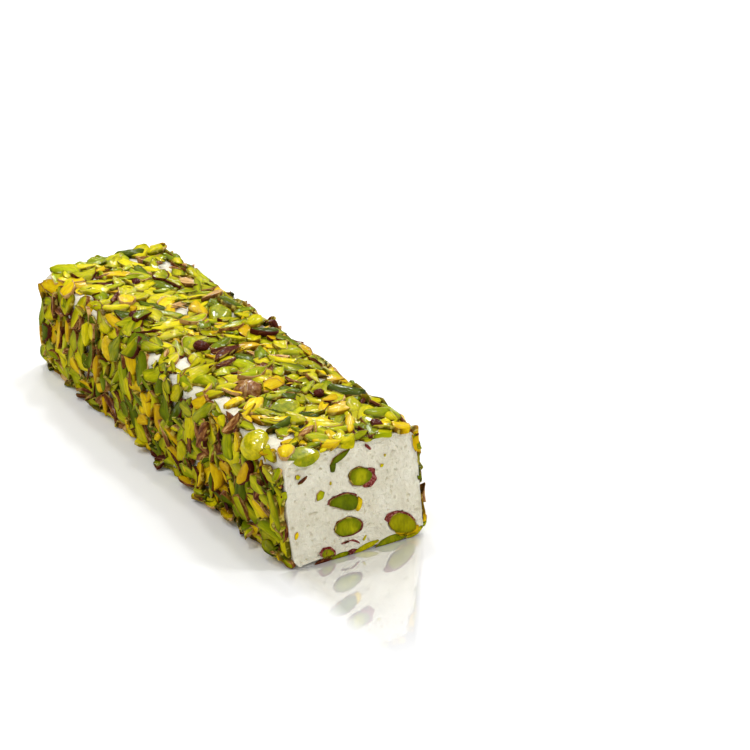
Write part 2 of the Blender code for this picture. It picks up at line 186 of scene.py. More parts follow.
# Each kernel's middle, size and turn as in the part, and its kind
KERNELS = {
    "kernel_front_1": Kernel((0.0021, -0.0895, 0.0278), (0.0160, 0.0086, 0.0078), (20, 0, 78), "green"),
    "kernel_front_2": Kernel((-0.0045, -0.0905, 0.0202), (0.0140, 0.0082, 0.0070), (0, 0, 12), "deep"),
    "kernel_front_3": Kernel((-0.0030, -0.0900, 0.0112), (0.0140, 0.0084, 0.0080), (10, -14, 40), "green"),
    "kernel_front_4": Kernel((0.0190, -0.0905, 0.0078), (0.0150, 0.0090, 0.0084), (10, 28, 35), "lime"),
    "kernel_front_5": Kernel((-0.0110, -0.0885, 0.0052), (0.0130, 0.0080, 0.0062), (0, -10, 50), "green"),
    "kernel_back_1": Kernel((-0.0120, 0.0890, 0.0262), (0.0150, 0.0084, 0.0078), (0, 16, 30), "green"),
    "kernel_back_2": Kernel((0.0080, 0.0885, 0.0280), (0.0160, 0.0088, 0.0080), (24, 0, 80), "lime"),
    "kernel_back_3": Kernel((0.0150, 0.0895, 0.0165), (0.0140, 0.0082, 0.0074), (0, 30, 15), "green"),
    "kernel_back_4": Kernel((-0.0035, 0.0890, 0.0140), (0.0150, 0.0086, 0.0080), (10, -12, 48), "green"),
    "kernel_back_5": Kernel((-0.0165, 0.0900, 0.0095), (0.0130, 0.0080, 0.0070), (0, -40, 25), "deep"),
    "kernel_coat_1": Kernel((-0.0256, -0.0690, 0.0372), (0.0158, 0.0112, 0.0086), (-48, 8, 72), "lime"),
    "kernel_coat_2": Kernel((-0.0110, -0.0385, 0.0402), (0.0108, 0.0092, 0.0084), (0, 0, -20), "skin"),
    "kernel_coat_3": Kernel((-0.0070, -0.0565, 0.0402), (0.0136, 0.0088, 0.0070), (0, 0, 10), "green"),
    "kernel_coat_4": Kernel((-0.0185, -0.0885, 0.0396), (0.0118, 0.0082, 0.0066), (0, 0, -12), "green"),
    "kernel_coat_5": Kernel((0.0120, 0.0240, 0.0388), (0.0140, 0.0094, 0.0078), (0, 0, 55), "green"),
    "kernel_coat_6": Kernel((0.0268, -0.0300, 0.0240), (0.0140, 0.0092, 0.0074), (0, 80, 0), "skin"),
    "kernel_coat_7": Kernel((-0.0258, 0.0350, 0.0290), (0.0138, 0.0090, 0.0074), (0, 70, 0), "yellow"),
}
COAT_KERNELS = [kernel for name, kernel in KERNELS.items() if "coat" in name]

# Where each kernel in the cuts was cut through: corners of its outline, as x and z in millimetres
CUT_OUTLINES = {
    "kernel_front_1": "-2.2 28.9, -1.3 31, 2.3 31.6, 6.3 29.3, 7.2 27.6, 6.2 25.4, 2.5 24.3, -0.8 25.4",
    "kernel_front_2": "-10.2 20.3, -9.8 22.3, -6.6 23.1, -3 23.2, 0.5 21.4, 2 18.8, 0.4 16.2, -3.2 16.7, -7.2 19",
    "kernel_front_3": "-8.4 10.3, -7.2 13.3, -3.3 14.4, 0.3 13.2, 2.5 10.8, 1.9 8.5, -1.4 7.4, -6.2 7.9",
    "kernel_front_4": "12.6 7.6, 14 10.4, 16.8 11, 20.4 9.4, 23.6 5.9, 24.4 2.6, 21.4 1.7, 17 2.9, 14 5.2",
    "kernel_front_5": "-13.6 3.4, -12.4 4.8, -10.4 4.6, -8.5 2.9, -8.6 1.3, -10.8 0.8, -12.9 1.7",
    "kernel_back_1": "-17.6 25.5, -15.5 23, -11 22.6, -7 24.4, -6.2 26.8, -8.8 29.3, -13 29.8, -16.6 28.2",
    "kernel_back_2": "4.2 27.4, 5.6 24.9, 8.6 24.6, 11.5 26.6, 11.9 29.2, 9.6 31.3, 6.4 31.2, 4.5 29.6",
    "kernel_back_3": "9.8 13.9, 12.4 12.8, 16.8 14.2, 20.3 17.2, 20.2 19.4, 17.4 20.3, 13 18.8, 10.2 16.4",
    "kernel_back_4": "-8.3 13.9, -6.2 11, -2.6 10.6, 0.7 12.2, 1.4 14.7, -0.6 17.1, -4.2 17.6, -7.4 16.2",
    "kernel_back_5": "-20.4 6.2, -18.2 5.4, -14.8 7.9, -12.3 11.2, -12.6 13.3, -15.4 13.4, -18.6 11, -20.6 8.3",
}

CUT_TONES = {"kernel_front_1": 0.42, "kernel_front_2": 0.85, "kernel_front_3": 0.50, "kernel_front_4": 0.12}

# Flat bits in the front cut: kind, tone from 0 to 1, how far it stands out, and the outline, in millimetres
FRONT_BITS = (
    ("skin", -0.30, 0.22, "3.4 28.6, 5.5 30.5, 8.2 29.4, 7.8 27.6, 8.9 25.5, 6.5 22.9, 3.2 23.5, 3 26"),
    ("skin", -0.20, 0.10, "-11 20.6, -10.3 22.5, -6.6 23.5, -2.8 23.6, 1 21.7, 0 20.4, -6 21"),
    ("yellow", 0.75, 0.30, "0 16, 0.8 18.6, 1.2 21.2, 2.9 19.4, 2.6 16.8, 1.2 15.3"),
    ("skin", -0.18, 0.10, "-7.4 8.8, -5 7.4, -1.2 7, 2.4 8, 3.2 10.4, 1.4 12.8, -3 10"),
    ("skin", -0.26, 0.14, "11 9.6, 12.6 11.6, 16.8 11.7, 21.2 9.4, 24.1 5.9, 21 6, 13.4 7.6"),
    ("yellow", 0.55, 0.16, "14.9 4.2, 17.2 1.6, 21.4 0.9, 25 1.4, 25.1 4.2, 21 4.6"),
    ("deep", 0.45, 0.32, "-9.6 35.3, -7 35.3, -7.3 33.4, -7.8 32, -9.2 32.3"),
    ("deep", 0.60, 0.36, "-9.4 35, -7.8 37.3, -5 38.4, -1 39.3, -3.5 36.6, -6.9 35"),
    ("green", 0.90, 0.16, "-13.2 26.9, -11.5 25.7, -12.3 23.5, -14.8 23, -14.8 25.5"),
    ("skin", -0.24, 0.14, "4.3 39.4, 5.6 38.6, 6.9 36.7, 5.9 36.6, 4.6 38"),
    ("lime", 0.65, 0.16, "-22.5 34.4, -21.4 34.6, -20.6 33.4, -21.6 32.6, -22.5 33.2"),
    ("skin", 0.20, 0.18, "-21.8 31.2, -20.4 32.2, -18 33.5, -18.3 32.4, -20.2 31.1"),
    ("lime", 0.30, 0.12, "-21.9 30.9, -20.6 31.7, -19 32.3, -20 31"),
    ("skin", -0.26, 0.14, "-5.9 5, -4.2 5.6, -2.4 5.5, -2.6 4.9, -4.4 4.8"),
    ("skin", -0.26, 0.14, "-2.9 5.5, -1 5.7, 1 4.4, 1.7 3.1, 0.6 3.8, -1.2 4.9"),
    ("lime", 0.80, 0.16, "2.6 4.2, 3.3 5.6, 4.2 5.9, 3.9 4.8, 3.2 3.9"),
    ("yellow", 0.90, 0.14, "-23.6 11.2, -23.4 13.4, -22.3 14, -21.9 12.8, -22.6 11.4"),
    ("lime", 0.90, 0.08, "10 29.2, 10.3 30.4, 11.6 30.1, 11.1 29.2"),
    ("lime", 0.95, 0.08, "11.6 32.7, 11.8 33.6, 12.5 33.5, 12.2 32.7"),
    ("lime", 0.85, 0.08, "-9.6 27.6, -9.4 28.9, -8.9 28.9, -8.9 27.8"),
    ("skin", -0.30, 0.10, "-14.6 3.6, -13 5.6, -10 5.4, -8 3.2, -8 1.4, -12 1"),
    ("skin", 0.20, 0.06, "-16.5 0.1, -15.5 0.9, -12.5 1.5, -10 1.3, -9.2 0.5, -10.5 0.1"),
    ("green", 0.45, 0.10, "-10.2 0.1, -9.5 1.2, -6.5 2, -3.5 1.9, -2.2 1, -3.2 0.2"),
    ("skin", -0.20, 0.10, "-3.6 0.4, -3.3 1.8, -1.5 2.3, -0.1 1.9, -0.2 0.7, -1.8 0.1"),
    ("lime", 0.55, 0.12, "-1.2 0.3, 0.5 1.7, 4 2.9, 8.5 3.1, 9.3 2.3, 6.5 1, 2 0.1"),
    ("green", 0.35, 0.08, "7.2 0.2, 9.4 2.2, 13 3.2, 17 3.2, 20 2.2, 21 1.2, 18 0.3, 12 0.1"),
    ("deep", 0.40, 0.12, "15.5 2.4, 17.4 3.6, 20.6 3.3, 21.8 2.2, 19.5 1.6"),
    ("lime", 0.35, 0.08, "19.6 0.2, 20.6 1.8, 23 3, 26.2 3.7, 26.6 2.6, 24.5 0.7, 22 0.1"),
)
# The same in the far cut
BACK_BITS = (
    ("skin", -0.26, 0.12, "3.4 27.6, 3.8 30.4, 6 32.1, 9.8 32.2, 12.4 29.8, 9 29, 6 29.6"),
    ("yellow", 0.60, 0.14, "16.4 13.6, 20.8 16.6, 21.2 19.6, 19 18.6, 16 15.6"),
    ("skin", -0.20, 0.10, "-8.8 13.6, -6.4 10.2, -2.4 9.9, 1.6 12, -2 12.4, -6.2 13"),
    ("skin", -0.28, 0.12, "-20.8 8.4, -21.2 5.6, -18.2 4.6, -14.4 7.4, -17 8"),
    ("green", 0.50, 0.16, "16.5 30, 18.4 31.4, 19.6 33.8, 18.6 34, 16.8 32.2"),
    ("skin", -0.24, 0.12, "-2.2 33.4, 0.4 34.4, 1.8 34, -0.4 33"),
    ("lime", 0.90, 0.08, "-18 18, -17.6 19.2, -16.6 19, -17 18"),
    ("lime", 0.85, 0.08, "-21 30.2, -20.8 31.4, -19.9 31.2, -20.2 30.2"),
    ("yellow", 0.80, 0.10, "2 20.4, 2.8 21.6, 4.2 21.4, 3.6 20.2"),
    ("green", 0.40, 0.10, "-20 0.2, -18 1.6, -13 2.4, -9 1.9, -8 0.9, -12 0.2"),
    ("lime", 0.50, 0.12, "-7 0.2, -5 1.8, -1 2.5, 4 2.1, 5.2 1, 1 0.2"),
    ("skin", -0.20, 0.10, "5.6 0.3, 6.4 1.8, 9 2.1, 10.6 1.2, 8.6 0.3"),
    ("green", 0.30, 0.10, "11 0.2, 13 1.9, 17 2.6, 21 2, 22 0.8, 18 0.2"),
)
BIT_DEPTH = 0.0012
BIT_SKIN = 0.8  # how much skin shows on one that is skin
# The lower border of the nougat at the front cut, over the slivers that it rests on: x and z in millimetres
BORDER_X = (-24, -21, -16, -9, -2, 0, 8, 10, 16, 21.5, 26)
BORDER_Z = (0, 0.1, 1.2, 1.7, 1.9, 2.4, 3.0, 2.9, 3.4, 2.7, 3.6)
BORDER_REACH = 0.0040
BORDER_WAVES = (0.0005, 90)  # and how uneven it is: height, and features a metre
BARE_RISE = 0.0009  # how far the nougat swells up where it is bare
BARE_FADE = (0.4, 1.7)  # shares of the patch's radius between which that fades out
BARE_WAVES = (0.8, 0.5, 420)  # and how it varies: least share, spread, and features a metre
KERNEL_FADE = (0.5, 0.8)  # it doesn't swell up within these shares of a kernel's length
SIDE_DENTS = (0.00012, 0.00016, 240)  # how deep the sides are dented: least, spread, and features a metre
ENDS_FOLLOW = 3  # power by which the rings along the roll take on the slant of its ends

# The unevenness of a cut: features a metre, octaves, depth, how flat they are, and limits for those that are pits
CUT_LEVEL = 0.00032
CUT_WAVES = (
    (130, 2, 0.00014, 1.0, None),
    (450, 3, 0.00040, 1.0, None),
    (260, 2, 0.00016, 2.6, None),
    (760, 1, 0.00055, 1.0, (0.40, 0.62)),
)
LEAST_DEPTH = 0.00002
CUT_SETTLES = 0.03  # share of the way in over which that begins
DIMPLE, DIMPLE_EDGE = 0.00045, (0.95, 1.12)  # depth round a kernel, and where it ends as shares of the way out
LIP, LIP_PLACE, LIP_WIDTH = 0.00020, 1.22, 0.09  # the raised lip round that

# Rings of what lies in a cut, from its rim to its middle: share of the way in, and share of its height
CUT_RINGS_IN = ((0.03, 0.35), (0.08, 0.7), (0.20, 0.95), (0.40, 1.0), (0.60, 0.98), (0.80, 0.94), (0.94, 0.93))
BOWL_TURNS = (12, 28, 44, 60, 74, 84, 90)  # and of its hidden bowl, in degrees from its deepest place
BOWL_DEPTH = 0.9  # share of the depth of the solid
KERNEL_DOME = 0.00030
EDGE_SKIN = 0.42  # how much skin shows at its edge
CUT_UNEVEN = (0.00007, 420)  # height, and features a metre
TORN_SKIN = {"kernel_front_5": 0.26}  # shreds of skin on its cut
PLAIN_TONE = 0.4

# A whole kernel: points round and along it, its unevenness, how deep its wrinkles are when it is skin and when it
# isn't, the number of flats worn on it, and how far out they lie
KERNEL_POINTS = (72, 48)
ROUGH, ROUGH_SCALE, FOLD_SCALE = (0.985, 0.02), 2.2, 5.0
SKIN_WRINKLES, PLAIN_WRINKLES, BEAD_WRINKLES = 0.035, 0.008, 0.11
FLATS, FLAT_REACH = 3, (0.72, 0.86)
KERNEL_TONES = (0.45, 0.6)
KERNEL_SKIN = 0.85
KERNEL_PROUD = 0.0008  # how far one may stand out past the knife cut
# The worn flats of the kernels nearest to the camera: the way that each faces, and its share of the way out
KERNEL_FLATS = {
    "kernel_coat_1": ((-0.10, 0.50, 0.80, 0.92), (-0.75, -0.62, -0.25, 0.84), (0.62, -0.74, 0.20, 0.92)),
    "kernel_coat_2": ((-0.45, -0.75, 0.20, 0.96), (0.60, -0.50, 0.50, 0.96), (0.0, 0.2, 1.0, 0.94)),
    "kernel_coat_3": ((-0.20, -0.35, 0.92, 0.72), (-0.50, -0.80, 0.10, 0.80)),
    "kernel_coat_4": ((-0.10, -0.40, 0.91, 0.74), (-0.30, -0.95, 0.05, 0.78)),
}
FLATNESS = 0.78
# Raised seams on them, drawn pale along the ridge as a painted highlight: how far up, and the line as the camera sees
# it from the kernel's middle, in millimetres
HIGHLIGHT_SEAMS = {
    "kernel_coat_1": (0.2, "1.4 2.8, -0.6 2.2, -1 1, 0.2 0, -0.6 -1.2, 0.4 -2, 1.6 -1.9"),
    "kernel_coat_2": (-0.25, "-0.6 4.6, -0.8 3.1, -0.5 0.6, -1.4 -1.8, -1.2 -4"),
}
HIGHLIGHT_SEAM_WIDTH = 0.00032

# Dark, wrinkled bits on the top: x, y and length in millimetres, their shape, how high they lie and their tilt
BEAD_SHAPE, BEAD_RAISE, BEAD_TILT = (1.0, 0.8, 0.55), 0.0022, (0.4, 0.3)
BEADS = table("13.2 -85.2 5.6, 8.9 -54.4 4.8, -7.8 -0.2 6.4, -2 62 4.4, -16 36 4.2")
# Slivers that lie over all the others, given as those above
LAST_ON_TOP = table("""
    -21.5 -85 40 7 6 yellow++, -2.2 -41 100 7.5 6.5 yellow++, -13 48 20 8 6.5 yellow++,
    -24 72 60 7.5 6 yellow++, -25 17 92 9.5 6.2 green++, 8.5 62 20 9 6.5 green++,
    14.6 51.6 150 8 5.4 skin, -3.3 -10.3 73 13 3.8 skin, -8.9 -18.3 78 12 3 skin,
    16.5 36 72 11 3.4 skin, -10.5 -78.5 67 9 3.6 skin, -14.5 33 60 10 4 green++,
    1 22 75 12 4.5 green++, 10 8 80 13 4 green+, -4 -30 82 12 4.6 green++, 17 -2 100 11 4.5 deep++
""")
LAST_ON_LEFT = table("""
    29 -38.5 118 14 5.2 skin, 25.6 -77 118 11 5 skin, 38.5 -56 100 9 4.6 skin, 12 -64 70 10 5 green++,
    27 -68 125 13 5.5 yellow++, 22 -89 62 15 4.6 green+, 21.5 73 95 12 4.2 yellow+,
    26 66 92 11 4.2 yellow+, 20.5 42 98 12 4.5 yellow+, 33 77 80 10 3.6 skin, 31.5 51 85 9 6 lime
""")

# What share of the random slivers each kind takes, on the top and on the sides
KINDS = ("lime", "green", "deep", "yellow", "skin")
TOP_SHARES = (0.40, 0.29, 0.06, 0.18, 0.07)
SIDE_SHARES = (0.24, 0.34, 0.15, 0.15, 0.12)
RIMMED_SHARE = 0.62

# How slivers are cut: how often, how uneven, and the corners of the outline, lengthwise and crosswise
CUTS = (
    (0.18, 0.1, "-1 0, -0.45 0.8, 0.25 0.95, 1 0.1, 0.45 -0.75, -0.3 -0.9"),
    (0.26, 0.1, "-1 -0.35, -0.55 0.55, 0.15 0.95, 0.75 0.5, 1 -0.3, 0.4 -0.7, -0.45 -0.65"),
    (0.24, 0.1, "-1 -0.55, -0.92 0.7, 0.1 0.95, 0.93 0.6, 1 -0.6, 0 -0.8"),
    (0.12, 0.09, "-1 -0.7, -0.8 0.8, 0.2 0.7, 1 0.35, 0.85 -0.45, -0.2 -0.85"),
    (0.12, 0.05, "-1 0.1, -0.7 0.75, 0 1, 0.72 0.7, 1 0, 0.7 -0.75, 0 -1, -0.7 -0.7"),
    (0.08, 0.12, "-1 0.3, -0.2 0.95, 1 0.4, 0.55 -0.6, -0.35 -0.9"),
)

# Rings of a sliver's mesh from its underside to its crown: share of the way in, height as a share of the
# thickness, share of the crown's height, and how near the rim it is.
# A rim over 1 marks a sliver's underside and lower wall, where painted shade is put.
RINGS_OF_SLIVER = (
    (0.12, -1.00, 0.0, 1.25),
    (0.01, -0.85, 0.0, 1.25),
    (0.00, -0.15, 0.0, 1.0),
    (0.035, 0.00, 0.1, 0.92),
    (0.11, 0.00, 0.3, 0.8),
    (0.21, 0.00, 0.5, 0.55),
    (0.44, 0.00, 0.8, 0.25),
    (0.74, 0.00, 1.0, 0.05),
)

ALL_ROUND = 2  # what stands for a rim of skin right round
# painted shade: the slivers on the sides are given a darker tone
SIDE_PAINTED_SHADE = 0.30  # how much darker in tone the slivers on the sides are
# painted light: the slivers at the far end are given a lighter tone
FAR_PAINTED_LIGHT = 0.16  # and how much lighter those at the far end are
RAGGED = 0.12  # the share of the slivers on the sides that stick out at one end
RAGGED_BELOW = 0.031  # the height that those are under
RAGGED_TILT = (0.5, 1.0)
SIDEWAYS = 0.6  # how far a sliver faces along an axis to count as lying on that side
TILT_ALONG = 0.6  # how much of its tilt a sliver takes about its width
TILT_RISE = 0.25  # how much of the height that its tilted ends gain it is raised by
PROUD = 0.0006  # how far the slivers with a place of their own stand over the rest
LAST_PROUD = 0.0005  # and those that lie over all the others
LAST_THICKNESS = (0.0012, 0.0013)  # of these, on the top and on the left side
LEAST_CLEARED = 0.00115  # the solids' slivers aren't moved off a patch with half its radius below this
ROOM = 0.4  # how much of its own width one is moved past a patch
NEAR_PATCH = 0.012  # from how far away one is moved at all
CORNERS_CUT = (0.14, 0.22, 0.25)  # shares of its sides by which an outline's corners are cut off, time after time
PLAIN_LENGTH = 0.0080  # a sliver shorter than this has a plainer outline
PLAINER = 0.55  # how uneven it is beside a longer one
NICKS, BENT = 0.022, 0.24  # how much an outline wavers, and bends
SPINE = (0.72, 0.12)  # the middle line that its rings close in on
ARCHED, CURLED, TWISTED, RIPPLED = 0.050, 0.10, 0.10, 0.022  # shares of its length, width, width and width
THIN, THIN_CURLED = 0.0006, 0.45  # a flake thinner than this curls up more
DOMED_SHARE, SKINS_DOMED = 0.28, 0.4
DOME, NO_DOME = (0.08, 0.17), (-0.02, 0.05)  # shares of its width
RIM_SKIN = (0.45, 0.85)  # how near the rim skin begins and is whole
RIM_SIDE = (-0.7, 0.5)  # how far across it begins
SPARE_UNDER, SPARE_OVER = -0.0005, 0.0004  # how far a sliver may stand out past the knife cut
OVERHANG = 0.0022  # and how far one on the top may
UPPER = 0.030  # the height that those on the top are over
PEEL = (0.85, 0.55, 0.00055)  # a strip of skin: shares of the length and width of its solid, and its thickness
DRAWN_IN = 0.0040  # the most that one is moved in from a cut
CUT_SHARE = 0.6  # of what it may stand out, how much of it is left
BOX_MARGIN, MARGINS = 0.00004, 0.0005  # how far it keeps inside the box, and how much more some do
STICKS_OUT = 0.0272  # a point further to the side than this sticks out of the coat

# Photo colours, as red, green and blue of 255, from dark to light
COLOURS = {
    "lime": ((100, 100, 0), (174, 169, 0), (234, 218, 16)),
    "green": ((60, 72, 0), (122, 133, 0), (178, 187, 6)),
    "deep": ((36, 48, 0), (82, 95, 0), (132, 145, 6)),
    "yellow": ((150, 104, 0), (208, 170, 2), (246, 220, 26)),
    "skin": ((66, 28, 12), (136, 88, 40), (200, 156, 88)),
}
SKIN_COLOURS = ((78, 30, 18), (142, 92, 44), (208, 168, 104))
RUDDY_COLOURS = ((84, 26, 24), (136, 56, 50), (178, 122, 112))  # of the skins in the cut, with a tone below 0
EDGE_BROWN = (148, 102, 32)
# painted shade on the slivers' undersides and lower walls
PAINTED_UNDERSIDE_SHADE = (42, 34, 6)
YELLOWED = (226, 206, 30)
# painted highlight on the rims of the slivers
PAINTED_RIM_HIGHLIGHT = (222, 204, 96)
NOUGAT_COLOURS = ((226, 219, 193), (246, 241, 220))
NOUGAT_SPECKS = (196, 182, 142)
FLOOR_WHITE = (250, 250, 250)

# Noises of the pistachios and of the nougat: features a metre, detail, and roughness
PATCHES, STREAKS, WRINKLES, DROPS = (300, 3.0), (1100, 3.0, 0.6), (800, 4.0, 0.65), (560, 3.0)
FINE, RUDDY, BROWNED, RIM_HIGHLIGHT_PATCHES, SYRUP = (2200, 3.0, 0.7), (1300, 3.0, 0.6), (240, 2.0), (420, 2.0), (170, 2.0)
SOFT, COARSE, GRAINY, BUBBLES = (170, 4.0), (620, 4.0, 0.6), (1900, 4.0, 0.7), 1300

# How wet the slivers are, and the whole kernels: least and most, the coat's roughness, index and bump, where their
# skins are darkest and lightest, and the kinds with ruddy ones.
Wetness = collections.namedtuple("Wetness", "least most rough index bump folds ruddy")
SLIVERS_WET = Wetness(0.15, 0.58, 0.04, 1.35, 0.00015, (0.30, 0.62), ("skin", "green", "deep", "lime"))
KERNELS_WET = Wetness(0.7, 0.85, 0.08, 1.6, 0.00004, (0.1, 0.8), ())
SLOTS = {kind: f"pistachio_{kind}" for kind in KINDS}

# How much the floor mirrors at the cut, and where: places along y and x between which that fades in or out
FLOOR_SIDE = 6.0
MIRROR = 0.55
MIRROR_ROUGH = 0.01
MIRROR_REACH = (-0.168, -0.122)
MIRROR_END = (-0.0925, -0.0915)
MIRROR_LEFT = (-0.031, -0.022)
MIRROR_SLANT = -0.624  # x past the cut's right side grows by this with y
MIRROR_SIDE = (0.0805, 0.0850)

# Small lamps, so that what is wet glints: place, side in metres, and watts
LAMPS = (
    ((0.36, 0.22, 0.80), 0.10, 1.6),
    ((0.12, 0.40, 0.84), 0.09, 1.3),
    ((-0.22, 0.26, 0.90), 0.09, 1.1),
    ((0.46, 0.72, 0.46), 0.09, 1.0),
    ((0.66, 0.56, 0.44), 0.08, 0.8),
    ((0.26, 0.84, 0.50), 0.08, 0.8),
    ((0.50, -0.46, 0.70), 0.16, 1.9),
    ((-0.60, 0.22, 0.66), 0.16, 1.25),
)
LAMPS_AIM = (0.0, 0.0, 0.02)
WORLD_GLOW = (0.34, 0.88)  # of the studio round the object, at the horizon and overhead
# It is dimmer low down at the back: how far back and how high a way points, and the share of the glow there
DIM_BACK = (0.10, 0.50, 1.0, 0.12)
DIM_BELOW = (0.55, 0.85, 0.12, 1.0)

# The camera of the photo, 750 pixels square
CAMERA_AZIMUTH = math.radians(-31.96)
CAMERA_ELEVATION = math.radians(25.91)
CAMERA_ROLL = math.radians(0.95)
CAMERA_DISTANCE = 1.07161
CAMERA_AIM = (0.0, 0.0, 0.020)
CAMERA_ACROSS = 0.05449  # how far the view's middle lies from the aim, across and up
CAMERA_UP = 0.00689
CAMERA_LENS, CAMERA_SENSOR = 144.0, 36.0  # in millimetres
CAMERA_SEES = (0.01, 20.0)


def camera_axes():
    """The ways that the picture's right and its top lie, and the way back to the camera."""
    level = math.cos(CAMERA_ELEVATION)
    back = (math.sin(CAMERA_AZIMUTH) * level, -math.cos(CAMERA_AZIMUTH) * level, math.sin(CAMERA_ELEVATION))
    across = np.array((math.cos(CAMERA_AZIMUTH), math.sin(CAMERA_AZIMUTH), 0.0))
    right = math.cos(CAMERA_ROLL) * across + math.sin(CAMERA_ROLL) * np.cross(back, across)
    return right, np.cross(back, right), np.array(back)


CAMERA_RIGHT, CAMERA_TOP, CAMERA_BACK = camera_axes()


# Laying the coat, as in the part


def outline_points(steps):
    """Rows of x, z and outward angle round the front's outline, from the underside's middle towards +X."""
    middle_x = WIDTH / 2 - CORNER
    corners = (
        (middle_x, CORNER),
        (middle_x, HEIGHT - CORNER),
        (-middle_x, HEIGHT - CORNER),
        (-middle_x, CORNER),
    )
    rows = [(0.0, 0.0, math.radians(-90))]
    for quarter, (x, z) in enumerate(corners):
        for step in range(steps + 1):
            angle = math.radians(-90 + 90 * (quarter + step / steps))
            rows.append((x + CORNER * math.cos(angle), z + CORNER * math.sin(angle), angle))
    rows.append((0.0, 0.0, math.radians(270)))
    return np.array(rows)


OUTLINE = outline_points(12)  # as in the part
DISTANCE = np.concatenate([[0.0], np.cumsum(np.hypot(*np.diff(OUTLINE[:, :2], axis=0).T))])
ROUND = DISTANCE[-1]
UNDERSIDE = WIDTH / 2 - CORNER
BEND = math.pi / 2 * CORNER
TOP_MIDDLE = ROUND / 2
LEFT_MIDDLE = ROUND - UNDERSIDE - BEND - (HEIGHT / 2 - CORNER)


def on_top(x):
    """Distance round of a place on the top, from its x in millimetres."""
    return TOP_MIDDLE - x / 1000


def on_left(z):
    """Distance round of a place on the left side, from its z in millimetres."""
    return LEFT_MIDDLE + HEIGHT / 2 - z / 1000


def surface(around, along):
    """Points of the bare nougat at distances round and along it, and the directions that face out there."""
    x, z, angle = (np.interp(np.mod(around, ROUND), DISTANCE, column) for column in OUTLINE.T)
    outward = np.stack([np.cos(angle), np.zeros_like(angle), np.sin(angle)], axis=-1)
    back = along / LENGTH + 0.5
    up = z / HEIGHT
    side_swell = np.abs(outward[..., 0]) * (1 - (2 * up - 1) ** 2)
    top_swell = np.maximum(outward[..., 2], 0) * (1 - (2 * x / WIDTH) ** 2)
    waves = sum(share * np.sin(a * along + r * around + start) for share, a, r, start in WAVES)
    swell = BULGE * (side_swell + top_swell) + WAVE * waves * np.clip(outward[..., 2] + 1, 0, 1)
    x = x - LEAN * (1 - back) * (up - 0.5)
    z = z * (1 + (HEIGHT_BACK / HEIGHT - 1) * back)
    return np.stack([x, along, z], axis=-1) + outward * swell[..., None], outward


def unit(vector):
    return vector / np.linalg.norm(vector)


class Coat:
    """How far the slivers laid so far stand out from the nougat, on a grid unrolled from its four sides."""

    def __init__(self):
        around = np.arange(0.0, ROUND, GRID)
        along = np.arange(-LENGTH / 2, LENGTH / 2, GRID)
        self.base, self.outward = surface(*np.meshgrid(around, along, indexing="ij"))
        self.lift = np.zeros(self.base.shape[:2])

    def window(self, around, along, reach):
        """Index of the grid's cells within reach of a place."""
        row, column = round(around / GRID), round((along + LENGTH / 2) / GRID)
        cells = math.ceil(reach / GRID)
        rows = np.arange(row - cells, row + cells + 1) % self.lift.shape[0]
        columns = np.arange(max(column - cells, 0), min(column + cells + 1, self.lift.shape[1]))
        return np.ix_(rows, columns)

    def thickness(self, around, along, reach):
        return self.lift[self.window(around, along, reach)].mean()

    def lay(self, around, along, heading, length, width, thickness, kind, rimmed, support=SUPPORT):
        """Rests one sliver on what lies there and returns it."""
        window = self.window(around, along, length / 2 + GRID)
        base, outward, lift = self.base[window], self.outward[window], self.lift[window]
        middle, normal = surface(np.array(around), np.array(along))
        lengthwise = math.cos(heading) * np.array([0.0, 1.0, 0.0])
        lengthwise = lengthwise + math.sin(heading) * np.cross(normal, [0.0, 1.0, 0.0])
        crosswise = np.cross(normal, lengthwise)

        def inside(offsets, long_way, short_way):
            return (2 * offsets @ long_way / length) ** 2 + (2 * offsets @ short_way / width) ** 2 < 1

        beds = base + outward * lift[..., None] - middle
        under = inside(beds, lengthwise, crosswise)
        bed = beds[under]
        places = np.stack([np.ones(len(bed)), bed @ lengthwise, bed @ crosswise], axis=1)
        height = bed @ normal
        slope = np.clip(np.linalg.lstsq(places, height, rcond=None)[0], -STEEPEST, STEEPEST)
        slope[0] = 0.0
        rise = np.percentile(height - places @ slope, support) - SINK
        lengthwise = unit(lengthwise + slope[1] * normal)
        facing = unit(np.cross(lengthwise, crosswise + slope[2] * normal))
        crosswise = np.cross(facing, lengthwise)
        top = middle + rise * normal + thickness * facing
        reach = (top - base) @ facing / np.maximum(outward @ facing, LEAST_FACING)
        covered = inside(base + outward * reach[..., None] - top, lengthwise, crosswise)
        self.lift[window] = np.where(covered, np.maximum(lift, reach), lift)
        return Sliver(top, lengthwise, crosswise, facing, length, width, thickness, kind, rimmed)


def taken(around, along):
    """Whether a kernel lies at this place, or it is left bare."""
    point, _ = surface(np.array(around), np.array(along))
    for kernel in COAT_KERNELS:
        if np.linalg.norm(point - np.array(kernel.middle)) < kernel.size[0] / 2 + SLIVER_WIDTH[0] / 2:
            return True
    return any(
        math.hypot(TOP_MIDDLE - around - x / 1000, along - y / 1000) < radius / 1000
        for x, y, radius in BARE_PATCHES
    )


def barest_place(coat, rng, reach):
    """Of a few random places, the one with the least on it."""
    places = []
    while len(places) < TRIES:
        around = rng.uniform(UNDERSIDE + BEND / 2, ROUND - UNDERSIDE - BEND / 2)
        along = rng.uniform(-LENGTH / 2, LENGTH / 2)
        if not taken(around, along):
            places.append((coat.thickness(around, along, reach), around, along))
    return min(places)[1:]


def over_an_edge(around):
    """Whether this distance round the outline lies on one of the long edges."""
    _, normal = surface(np.array(around), np.array(0.0))
    return EDGE_FACES[0] < abs(normal[0]) < EDGE_FACES[1]


def kind_at(around, kinds_rng):
    """A random kind for a sliver that lies there, and whether it has a rim of skin."""
    shares = TOP_SHARES if abs(around - TOP_MIDDLE) < WIDTH / 2 else SIDE_SHARES
    kind = kinds_rng.choice(KINDS, p=shares)
    return str(kind), kinds_rng.random() < RIMMED_SHARE


